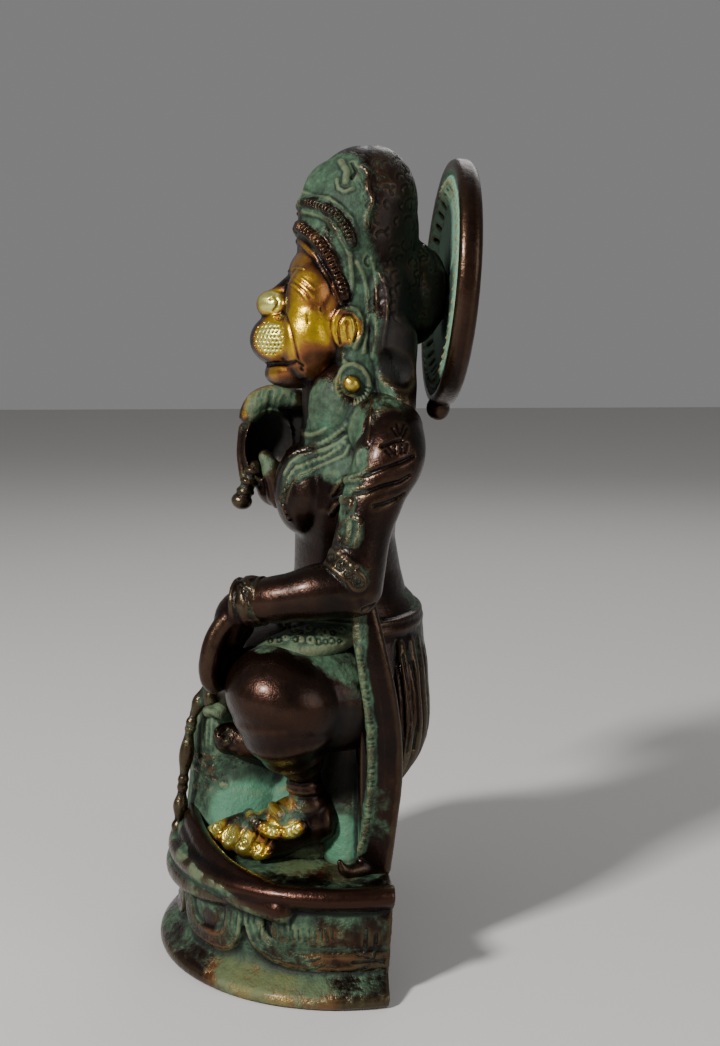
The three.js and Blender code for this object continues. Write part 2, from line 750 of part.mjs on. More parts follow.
function buildFace() {
  const { middleY: y, snoutY, snoutZ, earX, faceZ } = head;
  const parts = [
    ball([0, y + 1, faceZ], [16.2, 15.6, 18.8], [14, 10]),
    ball([0, y - 4, faceZ - 2.2], [16.4, 13.2, 17.2], [14, 10]),
    ball([0, y - 7.9, 168], [12.6, 6.8, 7.2], medium, [-14, 0, 0]),
    limb([[0, 13, 168.6, 4.5], [0, 8, 164.6, 3.8], [0, 3.4, 161.4, 3.3]], 7),
    ball([0, 1.7, 160.2], [4.9, 3.6, 3], medium),
    ball([0, snoutY, snoutZ], [10.6, 7.9, 6.7], large),
    ball([0, 9.2, 142.9], [11, 9.4, 4.3], medium, [6, 0, 0]),
  ];
  for (const side of [-1, 1]) {
    const earRing = [];
    for (let i = 0; i <= 8; i += 1) {
      const turn = degrees(-70 + i * 36);
      earRing.push([side * (earX + 1.6), 19.6 + 3.2 * Math.cos(turn), 153.8 - 4.8 * Math.sin(turn)]);
    }
    const scroll = [];
    for (let i = 0; i <= 6; i += 1) {
      const turn = degrees(20 + i * 40);
      scroll.push([side * (earX + 1.6), 20.6 - 3.2 * Math.cos(turn), 140.2 - 3.4 * Math.sin(turn)]);
    }
    parts.push(
      ball([side * 9.4, 11.2, 151.8], [7.4, 7.6, 10.4], medium, [0, side * 4, 0]),
      ball([side * earX, 19.5, 154.4], [2.8, 3.7, 5.4], medium, [8, 0, 0]),
      cord(earRing, 1.1, 8),
      ball([side * (earX + 1), 19, 146.2], [1.9, 1.9, 2.6], small),
      ball([side * (earX + 1.6), 20.5, 140.8], [2.3, 2.3, 2.3], small),
      cord(scroll, 1.1, 7),
      limb([[side * 12.6, 22, 152, 4.6], [side * 12.6, 22.6, 143, 5.2], [side * 13.8, 24, 134, 5.8]], 7),
    );
  }
  return parts;
}

function buildHair() {
  const parts = [
    ball(head.domeMiddle, head.domeRadii, [14, 10], [-4, 0, 0]),
    ball([0, 27.4, 185.6], [14.8, 11.2, 14.7], large),
    ball([0, 19, 181], [13.2, 10.6, 12.8], large, [20, 0, 0]),
    ball([0, 29, 158], [17.8, 9.2, 21.2], large),
    ball([0, 35.2, 165], [10.2, 9, 12.8], medium),
    ball([0, 32.6, 163], [13.2, 8.2, 16.2], medium),
  ];
  for (const side of [-1, 1]) {
    parts.push(
      limb([
        [side * 14, 30.6, 152, 6.2], [side * 15.6, 31.4, 142, 5], [side * 19, 31.6, 135.6, 4.2],
        [side * 21, 31, 132.6, 3.2],
      ], 7),
      cord([
        [side * 9, 21.6, 194.6], [side * 12, 23.4, 190.6], [side * 13.6, 22.6, 187], [side * 15, 24.4, 182.6],
        [side * 15.8, 23, 178.6],
      ], 1, 6),
      cord([
        [side * 17, 25, 170], [side * 17.4, 26.6, 163], [side * 17.2, 26.4, 156], [side * 16.4, 25.6, 149],
      ], 1, 4),
    );
  }
  return parts;
}

// A point on a band that falls ever more steeply from the front to the sides.
function diademPoint(turnDegrees, frontZ, sideDrop, radii) {
  const turn = degrees(turnDegrees);
  const forward = -Math.sin(turn);
  return [radii[0] * Math.cos(turn), 22.6 - radii[1] * forward, frontZ - sideDrop * (1 - forward) ** 1.7];
}

function buildDiadem() {
  const bands = [
    { z: 186, drop: 14.5, radii: [17, 12.8], end: 10, beads: 15, bead: 1.6, rims: 2.2 },
    { z: 179.8, drop: 30, radii: [16.8, 13.9], end: 15, beads: 17, bead: 1.7, rims: 2.4 },
  ];
  const rimSteps = 8;
  const parts = [];
  for (const band of bands) {
    const arc = 180 - 2 * band.end;
    for (const shift of [-band.rims, band.rims]) {
      const points = [];
      for (let i = 0; i <= rimSteps; i += 1) {
        const turn = -180 + band.end + (arc * i) / rimSteps;
        points.push(diademPoint(turn, band.z + shift, band.drop, band.radii));
      }
      parts.push(cord(points, 0.9, 12, 3));
    }
    for (let i = 0; i < band.beads; i += 1) {
      const turn = -180 + band.end + (arc * i) / (band.beads - 1);
      parts.push(bead(diademPoint(turn, band.z, band.drop, band.radii), band.bead));
    }
  }
  return parts;
}

// Halo disc behind the head, dished in front, with a beaded ridge, a thick rim and a stub to the hair

function buildHalo() {
  const R = halo.radius;
  const profile = [
    [0, -0.2], [22, -0.6], [24.6, -2.2], [26.6, -2.2], [27.4, -1.4], [29, -2.8], [R, -1.4],
    [R, 1.6], [R - 2, 3.2], [R - 6, 2], [0, 1.8],
  ];
  const shapes = [turned(profile, halo.stepsAround)];
  for (let i = 0; i < halo.beads; i += 1) {
    const turn = (i / halo.beads) * 2 * Math.PI;
    const at = [halo.beadRing * Math.cos(turn), halo.beadRing * Math.sin(turn), -2.2];
    shapes.push(bead(at, halo.beadRadius));
  }
  for (const shape of shapes) {
    shape.rotateX(-Math.PI / 2 - halo.lean);
    shape.translate(...halo.centre);
  }
  return [
    ...shapes,
    ball([0, 40, 164.6], [8.6, 6.2, 12.2], large),
    ball([0, 43.6, 134.4], [3.3, 3.1, 3.3], small),
  ];
}

function faceCuts() {
  const mouth = cord([
    [-10, 7, 146.4], [-6, -1, 145.6], [0, -4.2, 145.4], [6, -1, 145.6], [10, 7, 146.4],
  ], 0.9, 8);
  const creases = [-1, 1].map((side) => cord([
    [side * 9, 3.2, 157], [side * 10.4, 5, 153], [side * 11.2, 6.4, 149], [side * 11.6, 8.4, 145],
  ], 0.8, 5));
  const nostrils = [-1, 1].map((side) => ball([side * 2.4, -1.6, 159.2], [0.9, 1.2, 0.8], [5, 4]));
  return [mouth, ...creases, ...nostrils];
}

function buildFigure() {
  const masses = [
    ...buildSeat(), ...buildLegs(), ...buildSkirt(), ...buildScarf(), ...buildTorso(), ...buildLeftArm(),
    ...buildLeftHand(), ...buildRightArm(), ...buildFace(), ...buildHair(), ...buildDiadem(), ...buildHalo(),
    ...buildStrand(),
  ];
  const figure = cutBy(joined(masses), [...faceCuts(), ...armCuts()]);
  return buildPlinth().add(toSolid(toGeometry(figure).translate(0, 0, figureLevel)));
}

const bronze = new THREE.MeshStandardMaterial({ color: bronzeColour, roughness: 0.45, metalness: 0.9 });

const figure = new THREE.Mesh(simplified(toGeometry(buildFigure()), triangleLimit), bronze);
figure.name = 'figure_on_plinth';

const group = new THREE.Group();
group.add(figure);

export default group;
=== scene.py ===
import math
import random

import bpy
import numpy as np
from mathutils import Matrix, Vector
from mathutils.bvhtree import BVHTree
from mathutils.kdtree import KDTree


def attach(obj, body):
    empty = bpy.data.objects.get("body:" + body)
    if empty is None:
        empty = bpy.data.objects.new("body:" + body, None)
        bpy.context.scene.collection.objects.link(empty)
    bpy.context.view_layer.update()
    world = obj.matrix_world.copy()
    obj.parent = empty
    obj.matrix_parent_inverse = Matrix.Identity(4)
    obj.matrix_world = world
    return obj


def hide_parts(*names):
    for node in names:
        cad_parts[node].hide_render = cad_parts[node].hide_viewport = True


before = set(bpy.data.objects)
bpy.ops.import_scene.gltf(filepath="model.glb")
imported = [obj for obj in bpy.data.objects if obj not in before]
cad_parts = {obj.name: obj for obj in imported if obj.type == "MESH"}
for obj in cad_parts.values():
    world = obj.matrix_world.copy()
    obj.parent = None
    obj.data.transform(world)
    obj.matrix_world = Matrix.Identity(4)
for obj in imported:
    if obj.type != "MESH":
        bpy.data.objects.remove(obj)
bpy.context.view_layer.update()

mm = 0.001
figureLevel = -5.5  # heights on the figure are counted from here, as the casting's own drawing has them
bpy.ops.object.select_all(action="DESELECT")


# camera

view = {
    "place": (339.7, -5.8, 143.5),
    "azimuth": 85,
    "focalPixels": 1364,
    "horizonRow": 350,
    "width": 720,
    "height": 1046,
    "sensor": 36,
}
turn = math.radians(view["azimuth"])
lookAlong = Vector((-math.sin(turn), math.cos(turn), 0))
lookRight = Vector((math.cos(turn), math.sin(turn), 0))
eye = Vector(view["place"]) * mm


def addCamera():
    bpy.ops.object.camera_add(location=eye, rotation=(math.pi / 2, 0, turn))
    camera = bpy.context.object
    camera.name = "photographView"
    camera.data.sensor_fit = "VERTICAL"
    camera.data.sensor_height = view["sensor"]
    camera.data.lens = view["sensor"] * view["focalPixels"] / view["height"]
    camera.data.shift_y = (view["horizonRow"] - view["height"] / 2) / view["height"]
    camera.data.clip_start = 0.01
    bpy.context.scene.camera = camera


addCamera()


# small tools for modelling

def selectOnly(pieces):
    bpy.ops.object.select_all(action="DESELECT")
    for piece in pieces:
        piece.select_set(True)
    bpy.context.view_layer.objects.active = pieces[0]


def ball(place, radii, turned=(0, 0, 0), segments=24):
    bpy.ops.mesh.primitive_uv_sphere_add(
        segments=segments, ring_count=segments // 2, radius=mm, location=Vector(place) * mm,
        rotation=[math.radians(angle) for angle in turned], scale=radii)
    return bpy.context.object


def block(low, high):
    middle = [(a + b) / 2 * mm for a, b in zip(low, high)]
    bpy.ops.mesh.primitive_cube_add(size=mm, location=middle, scale=[b - a for a, b in zip(low, high)])
    return bpy.context.object


# a closed round form grown ring by ring; rings of (x middle, y middle, z, half width, half depth)
def stacked(rings, sides=64):
    x, y, z, halfWidth, halfDepth = rings[0]
    bpy.ops.mesh.primitive_circle_add(vertices=sides, radius=mm, fill_type="NGON", location=(x * mm, y * mm, z * mm))
    piece = bpy.context.object
    bpy.ops.object.mode_set(mode="EDIT")
    bpy.ops.mesh.select_all(action="SELECT")
    bpy.ops.transform.resize(value=(halfWidth, halfDepth, 1), center_override=(x * mm, y * mm, z * mm))
    for now, following in zip(rings, rings[1:]):
        bpy.ops.mesh.extrude_region_move(
            TRANSFORM_OT_translate={"value": [(b - a) * mm for a, b in zip(now[:3], following[:3])]})
        bpy.ops.transform.resize(value=(following[3] / now[3], following[4] / now[4], 1),
                                 center_override=[v * mm for v in following[:3]])
    bpy.ops.object.mode_set(mode="OBJECT")
    return piece


# round tapered tubes through stations of (x, y, z, radius), with rounded ends
def tubes(runs, resolution=8):
    curve = bpy.data.curves.new("tube", "CURVE")
    curve.dimensions = "3D"
    curve.bevel_depth = mm
    curve.bevel_resolution = resolution
    curve.use_fill_caps = True
    curve.resolution_u = 6
    for stations in runs:
        places = [Vector(station[:3]) for station in stations]
        radii = [station[3] for station in stations]
        startAlong = (places[0] - places[1]).normalized()
        endAlong = (places[-1] - places[-2]).normalized()
        places = ([places[0] + startAlong * radii[0] * 0.98, places[0] + startAlong * radii[0] * 0.66] + places
                  + [places[-1] + endAlong * radii[-1] * 0.66, places[-1] + endAlong * radii[-1] * 0.98])
        radii = [radii[0] * 0.16, radii[0] * 0.75] + radii + [radii[-1] * 0.75, radii[-1] * 0.16]
        spline = curve.splines.new("BEZIER")
        spline.bezier_points.add(len(places) - 1)
        spline.radius_interpolation = "EASE"
        for point, place, radius in zip(spline.bezier_points, places, radii):
            point.co = place * mm
            point.radius = radius
            point.handle_left_type = point.handle_right_type = "AUTO"
    piece = bpy.data.objects.new("tube", curve)
    bpy.context.scene.collection.objects.link(piece)
    return piece


# one bead is modelled and copied to every place, each copy with its own mesh
def beads(places, radius, stretch=(1, 1, 1)):
    bpy.ops.mesh.primitive_ico_sphere_add(subdivisions=2, radius=mm, location=(0, 0, 0))
    first = bpy.context.object
    made = []
    for number, place in enumerate(places):
        bead = first if number == 0 else first.copy()
        if number:
            bead.data = first.data.copy()
            bpy.context.scene.collection.objects.link(bead)
        bead.location = Vector(place) * mm
        size = radius[number] if isinstance(radius, (list, tuple)) else radius
        bead.scale = [size * s for s in stretch]
        made.append(bead)
    return made


def joined(parts, lift=0):
    selectOnly(parts)
    bpy.ops.object.convert(target="MESH")
    if len(parts) > 1:
        bpy.ops.object.join()
    bpy.ops.transform.translate(value=(0, 0, lift * mm))
    bpy.ops.object.transform_apply(location=True, rotation=True, scale=True)
    return bpy.context.object


def skinned(piece, grain, softness):
    selectOnly([piece])
    remesh = piece.modifiers.new("skin", "REMESH")
    remesh.mode = "VOXEL"
    remesh.voxel_size = grain * mm
    bpy.ops.object.modifier_apply(modifier=remesh.name)
    if softness:
        smooth = piece.modifiers.new("soften", "SMOOTH")
        smooth.factor = 0.5
        smooth.iterations = softness
        bpy.ops.object.modifier_apply(modifier=smooth.name)
    bpy.ops.object.shade_smooth()
    return piece


# joins the masses and lets them flow together as wax does, into one closed skin
def cast(name, parts, grain, softness=8, lift=figureLevel):
    piece = joined(parts, lift)
    piece.name = name
    piece.data.name = name
    return skinned(piece, grain, softness)


# sets ornaments on a piece and casts them with it
def adorn(piece, ornaments, grain, softness=2, lift=0):
    extra = joined(ornaments, lift)
    selectOnly([piece, extra])
    bpy.ops.object.join()
    return skinned(piece, grain, softness)


def hollowOut(piece, cutters, lift=figureLevel):
    cutter = joined(cutters, lift)
    selectOnly([piece])
    cut = piece.modifiers.new("hollow", "BOOLEAN")
    cut.operation = "DIFFERENCE"
    cut.solver = "EXACT"
    cut.object = cutter
    bpy.ops.object.modifier_apply(modifier=cut.name)
    bpy.data.objects.remove(cutter)


def meshArrays(piece):
    count = len(piece.data.vertices)
    places = np.empty(count * 3, np.float32)
    normals = np.empty(count * 3, np.float32)
    piece.data.vertices.foreach_get("co", places)
    piece.data.vertices.foreach_get("normal", normals)
    return places.reshape(-1, 3).astype(float), normals.reshape(-1, 3).astype(float)


def setPlaces(piece, places):
    piece.data.vertices.foreach_set("co", places.astype(np.float32).ravel())
    piece.data.update()


class Surface:
    # what a carver's hand needs: the skin to draw on, and its points by nearness
    def __init__(self, piece):
        self.piece = piece
        self.places, self.normals = meshArrays(piece)
        polygons = [tuple(face.vertices) for face in piece.data.polygons]
        self.skin = BVHTree.FromPolygons([Vector(p) for p in self.places], polygons)
        self.tree = KDTree(len(self.places))
        for number, place in enumerate(self.places):
            self.tree.insert(place, number)
        self.tree.balance()
        self.shift = np.zeros(len(self.places))

    # where a line of sight of the photograph's camera meets the skin
    def seen(self, x, y):
        along = lookAlong * view["focalPixels"] + lookRight * (x - view["width"] / 2)
        along += Vector((0, 0, 1)) * (view["horizonRow"] - y)
        return self.skin.ray_cast(eye, along.normalized())[0]

    def near(self, place):
        return self.skin.find_nearest(Vector(place))[0]

    # points along a line drawn on the photograph, laid on the skin
    def drawn(self, line, step=1.2):
        found = [self.seen(*line[0])]
        for (x0, y0), (x1, y1) in zip(line, line[1:]):
            pieces = max(1, round(math.hypot(x1 - x0, y1 - y0) / step))
            for i in range(1, pieces + 1):
                found.append(self.seen(x0 + (x1 - x0) * i / pieces, y0 + (y1 - y0) * i / pieces))
        return [spot for spot in found if spot is not None]

    # the same marks on the right side, where the figure is alike on both
    def mirrored(self, spots):
        return [self.near((-spot.x, spot.y, spot.z)) for spot in spots]

    def bothSides(self, spots):
        return spots + self.mirrored(spots)

    # a drawn line as a raised cord that sits in the skin, on one side or on both
    def ridge(self, line, radius, both=True, step=4):
        spots = self.even(self.drawn(line, step), 0.3)
        runs = [spots, self.even(self.mirrored(spots), 0.3)] if both else [spots]
        return tubes([[(*(spot / mm), radius) for spot in run] for run in runs], 3)

    # beads evenly spaced along a drawn line
    def beadLine(self, line, gap, radius, both=True):
        spots = self.even(self.drawn(line, 1), gap)
        if both:
            spots = self.bothSides(spots)
        return beads([spot / mm for spot in spots], radius)

    def even(self, spots, gap):
        kept = [spots[0]]
        for spot in spots[1:]:
            if (spot - kept[-1]).length >= gap * mm:
                kept.append(spot)
        return kept

    def laid(self, points, step=0.3):
        found = []
        for a, b in zip(points, points[1:]):
            a, b = Vector(a) * mm, Vector(b) * mm
            pieces = max(1, round((b - a).length / (step * mm)))
            found += [self.near(a.lerp(b, i / pieces)) for i in range(pieces + 1)]
        return found

    # presses the skin in along marks, or raises it where depth is below zero; millimetres
    def press(self, spots, width, depth, flat=0.0):
        reach = width * mm
        for spot in spots:
            for _, number, distance in self.tree.find_range(spot, reach):
                away = max(0.0, distance / reach - flat) / (1 - flat)
                amount = depth * mm * (1 - away * away) ** 2
                if abs(amount) > abs(self.shift[number]):
                    self.shift[number] = amount

    # short marks across a line of spots
    def across(self, spots, halfLength, gap, width, depth):
        for before, spot, after in zip(spots, spots[1:], spots[2:]):
            _, normal, _, _ = self.skin.find_nearest(spot)
            side = normal.cross(after - before).normalized() * halfLength * mm
            self.press([spot + side * (i / 4 - 1) for i in range(9)], width, depth)

    # a finer skin where small marks are to come
    def refine(self, spots, radius):
        marked = np.zeros(len(self.places), bool)
        for spot in spots:
            for _, number, _ in self.tree.find_range(spot, radius * mm):
                marked[number] = True
        mesh = self.piece.data
        selectOnly([self.piece])
        mesh.polygons.foreach_set("select", [all(marked[v] for v in face.vertices) for face in mesh.polygons])
        bpy.ops.object.mode_set(mode="EDIT")
        bpy.ops.mesh.select_mode(type="FACE")
        bpy.ops.mesh.subdivide(number_cuts=1, smoothness=0)
        bpy.ops.object.mode_set(mode="OBJECT")
        self.__init__(self.piece)

    def finish(self):
        setPlaces(self.piece, self.places - self.normals * self.shift[:, None])
        self.__init__(self.piece)


def smoothedOver(piece, places, rounds):
    edges = np.empty(len(piece.data.edges) * 2, np.int32)
    piece.data.edges.foreach_get("vertices", edges)
    a, b = edges.reshape(-1, 2).T
    count = len(places)
    weight = np.bincount(a, minlength=count) + np.bincount(b, minlength=count)
    result = places.copy()
    for _ in range(rounds):
        total = np.empty_like(result)
        for axis in range(3):
            total[:, axis] = (np.bincount(a, result[b, axis], count) + np.bincount(b, result[a, axis], count))
        result = total / np.maximum(weight, 1)[:, None]
    return result


def layer(piece, name, values):
    attribute = piece.data.attributes.get(name) or piece.data.attributes.new(name, "FLOAT", "POINT")
    attribute.data.foreach_set("value", np.asarray(values, np.float32))


# how far each point lies in a hollow, finely and broadly
def markHollows(piece, fineRounds=4, broadRounds=40):
    places, normals = meshArrays(piece)
    fine = smoothedOver(piece, places, fineRounds)
    broad = smoothedOver(piece, fine, broadRounds)
    layer(piece, "fineHollow", np.einsum("ij,ij->i", fine - places, normals) / mm)
    layer(piece, "broadHollow", np.einsum("ij,ij->i", broad - places, normals) / mm)


# paints a finish over a first even coat; each dab of (place, radius in mm, strength) carries it toward its own
# strength, and a dab may be placed by the photograph's column and row instead
def brush(piece, name, coat, dabs):
    carving = Surface(piece)
    value = np.full(len(carving.places), float(coat))
    for *place, radius, strength in dabs:
        if len(place) == 2:
            spot = carving.seen(*place)
            if spot is None:
                print("no skin of", piece.name, "at", place)
                continue
        else:
            spot = Vector(place[0]) * mm
        for side in (1, -1):
            away = np.linalg.norm(carving.places - np.array((side * spot.x, spot.y, spot.z)), axis=1) / (radius * mm)
            value += (strength - value) * np.clip(2 * (1 - away), 0, 1)
    layer(piece, name, value)


# lotus plinth: a drum with a round roll above, hanging petals, and a flared foot

plinthSizes = {
    "grain": 0.45,
    "halfWidth": 45.1,
    "halfDepth": 44.1,
    "centreY": 18.6,
    "backY": 26.5,
    "backLean": 4,
    # height and how far inside the greatest width, up the side
    "profile": [
        (0.0, 0.9), (0.4, 0.3), (1.1, 0.0), (2.0, 0.1), (2.7, 0.6), (3.6, 1.6), (4.6, 3.0), (5.6, 4.4), (6.4, 5.3),
        (7.6, 5.8), (9.0, 5.9), (12.0, 6.1), (15.0, 6.2), (18.2, 6.1), (19.3, 5.4), (19.8, 4.6),
        (20.4, 3.4), (21.4, 2.4), (22.5, 1.9), (23.8, 2.2), (24.8, 3.1), (25.2, 4.2), (24.9, 5.2),
        (24.2, 6.6), (23.7, 9.0), (23.6, 14.0), (23.9, 20.0),
    ],
    # middle and half width of each petal in degrees round the drum, the front being at -90
    "petals": ((-90, 16), (-55, 16), (-125, 16), (-3, 33), (-177, 33)),
    "petalLow": 7.4, "petalHigh": 18.6, "petalLines": (0, 1, 2), "lineGap": 1.9, "lineRadius": 0.92, "lineInset": 5.2,
    # half of the upper roll, from the side round to the middle of the front, where it climbs
    "roll": [(38, 4, 22.4, 2.4), (30.5, -5.6, 23.8, 2.6), (20, -12.4, 25.6, 2.5), (8, -16.6, 27.9, 2.3), (0, -17.6, 28.4, 2.3)],
}


def plinthPoint(turnDegrees, height, inset):
    angle = math.radians(turnDegrees)
    return (
        (plinthSizes["halfWidth"] - inset) * math.cos(angle),
        plinthSizes["centreY"] + (plinthSizes["halfDepth"] - inset) * math.sin(angle),
        height,
    )


def turnedDrum():
    sizes = plinthSizes
    return stacked([(0, sizes["centreY"], height, sizes["halfWidth"] - inset, sizes["halfDepth"] - inset)
                    for height, inset in sizes["profile"]], 180)


# one petal: a swelling tongue inside raised lines that are nested in one another
def petal(middle, halfSpan):
    sizes = plinthSizes
    wide = math.radians(halfSpan) * sizes["halfWidth"]
    swell = ball(plinthPoint(middle, 15, 7.6), (wide * 0.62, 2.8, 7.4), (0, 0, middle + 90), 40)
    runs = []
    for line in sizes["petalLines"]:
        inside = line * sizes["lineGap"]
        halfWide = wide - inside
        low = sizes["petalLow"] + inside * 0.62
        run = []
        for i in range(33):
            along = i / 32 * 2 - 1
            across = math.copysign(1 - (1 - abs(along)) ** 2.4, along) * halfWide
            height = low + (sizes["petalHigh"] - low) * abs(along) ** 2.6
            run.append((*plinthPoint(middle + math.degrees(across / sizes["halfWidth"]), height, sizes["lineInset"]),
                        sizes["lineRadius"]))
        runs.append(run)
    return [swell, tubes(runs, 3)]


# the upper roll, which leaves the rim at the sides and climbs to the front, on a bank of its own
def upperRoll():
    half = plinthSizes["roll"]
    whole = half[:-1] + [(-x, y, z, r) for x, y, z, r in reversed(half)]
    bank = [(x, y - 0.9, z - 2.6, r + 0.5) for x, y, z, r in whole]
    return tubes([whole, bank])


def frontLip():
    stations = []
    steps = 16
    for i in range(steps + 1):
        across = i / steps * 2 - 1
        angle = -90 + across * 62
        deep = math.cos(across * math.pi / 2)
        x, y, z = plinthPoint(angle, 20.6 - 2.4 * deep, 4.4 - 0.2 * deep)
        stations.append((x, y, z, 0.9 + 1.9 * deep))
    return tubes([stations])


def cutBack(piece, backY, lean):
    angle = math.radians(lean)
    selectOnly([piece])
    bpy.ops.object.mode_set(mode="EDIT")
    bpy.ops.mesh.select_all(action="SELECT")
    bpy.ops.mesh.bisect(plane_co=(0, backY * mm, 0), plane_no=(0, math.cos(angle), -math.sin(angle)),
                        use_fill=True, clear_outer=True)
    bpy.ops.object.mode_set(mode="OBJECT")


def buildPlinth():
    sizes = plinthSizes
    parts = [turnedDrum(), frontLip(), upperRoll()]
    for middle, halfSpan in sizes["petals"]:
        parts += petal(middle, halfSpan)
    piece = cast("lotusPlinth", parts, sizes["grain"], 1, 0)
    cutBack(piece, sizes["backY"], sizes["backLean"])
    skinned(piece, sizes["grain"], 1)
    carving = Surface(piece)
    # short ticks cast in the near panel, and the carved post by the back edge
    for i in range(9):
        x = 287 + i * 5.6
        carving.press(carving.drawn(((x, 929 + i % 3), (x + 0.6, 938 + i % 4))), 0.36, 0.2)
    for line in (((353, 963), (384, 960)), ((357, 955), (384, 963)), ((366, 930), (365, 953)), ((376, 935), (375, 957)),
                 ((350, 974), (366, 968)), ((306, 962), (320, 958)), ((307, 971), (320, 967))):
        carving.press(carving.drawn(line), 0.4, 0.26)
    random.seed(3)
    for i in range(13):  # faint runs down from under the roll
        x = 219 + i * 6
        start = 910 + i * 0.8
        carving.press(carving.drawn(((x, start), (x - 1.5, start + random.uniform(8, 26)))), 0.4, 0.18)
    carving.finish()
    return piece


# seat with the pleated cloth in front, and the bead strand

seatSizes = {
    "grain": 0.45,
    # the cloth in front of the seat, ring by ring
    "cloth": [(-6, -3.4, 26, 20.5, 16), (-7.4, -3.4, 31, 18.4, 16.2), (-8.4, -3.2, 36, 15.4, 16),
              (-8.8, -3, 42, 13.4, 15.6), (-8.6, -2.8, 48, 12.6, 15.8), (-8.2, -2.6, 54, 11.4, 15.8),
              (-8, -2.6, 57.4, 10.6, 15.2), (-8, -2.4, 59.4, 8.4, 13)],
    "hem": ((194, 713), (203, 710), (213, 712), (221, 717)),
    "shade": ((228, 768), (245, 771), (262, 773), (276, 771)),
    "flutes": 5,
}


def buildSeat():
    sizes = seatSizes
    parts = [
        stacked([(-13, 6, 27, 21, 17), (-13, 6, 33, 20.4, 16.6), (-13, 6.6, 38, 19.6, 16.4), (-13, 8, 42, 18.4, 15.4),
                 (-12, 9, 45, 16, 13.6)]),
        block((-30, 8, 27), (6, 24, 47)),
        stacked(sizes["cloth"]),
        tubes([[(-4, -9, 57, 4.4), (-2, -9.4, 61, 3.6), (0, -10, 65, 3.2)],
               [(4, -13.4, 60.6, 1.8), (4.6, -10.6, 61, 2)]]),
        ball((9, 11, 31), (11, 14, 5), segments=32),
    ]
    piece = cast("seatAndCloth", parts, sizes["grain"], 5)
    carving = Surface(piece)
    piece = adorn(piece, [carving.ridge(sizes["hem"], 0.7, False)], sizes["grain"], 2)
    carving = Surface(piece)
    for i in range(sizes["flutes"]):
        x = 196 + i * 4.4
        carving.press(carving.drawn(((x, 718), (x - 0.6, 732), (x - 1.5, 750))), 1.1, 0.28)
    carving.press(carving.drawn(sizes["shade"]), 5.0, 1.2)
    random.seed(11)
    for i in range(26):  # dents of the rough casting low on the cloth
        spot = (random.uniform(193, 224), random.uniform(756, 788))
        carving.press(carving.drawn((spot, (spot[0] + 3, spot[1] + random.uniform(-3, 3)))), random.uniform(0.9, 1.8),
                      random.uniform(-0.35, 0.35))
    carving.finish()
    return piece


strandSizes = {
    "grain": 0.35,
    "long": [((0, -14.4, 65.2), (0, -17.4, 58.8)), ((0, -18.4, 54.6), (0, -19.8, 44)), ((0, -20.2, 40), (0, -21, 33))],
    "round": [(0, -17.9, 57.0), (0, -18.2, 55.4), (0, -19.9, 42.9), (0, -20.1, 41), (0, -21.1, 31.4)],
}


def buildStrand():
    runs = []
    for a, b in strandSizes["long"]:
        middle = [(p + q) / 2 for p, q in zip(a, b)]
        runs.append([(*a, 1.1), (*middle, 1.9), (*b, 1.1)])
    runs.append([(0, -14.4, 65.4, 0.9), (0, -17.6, 58, 0.9), (0, -19.8, 43.4, 0.9), (0, -21.1, 31.6, 0.9)])
    runs.append([(0, -21.1, 30.8, 1.6), (0, -20.2, 27, 2.2)])
    runs.append([(0, -13.8, 66, 1.4), (5, -12.6, 68, 2.0), (13, -12, 71, 2.5)])
    parts = [tubes(runs), *beads(strandSizes["round"], [1.5, 1.5, 1.5, 1.5, 1.9]), ball((2, -13.2, 63.8), (3.2, 2, 3.4))]
    return cast("beadStrand", parts, strandSizes["grain"], 2)


# legs: the left knee is raised with its foot on the plinth, the right leg lies folded on the seat

legSizes = {
    "grain": 0.44, "skin": 0.44,
    "bigToe": (8.6, -12.6, 32.2), "smallToe": (21.4, -1.8, 31.6), "toes": 5,
}


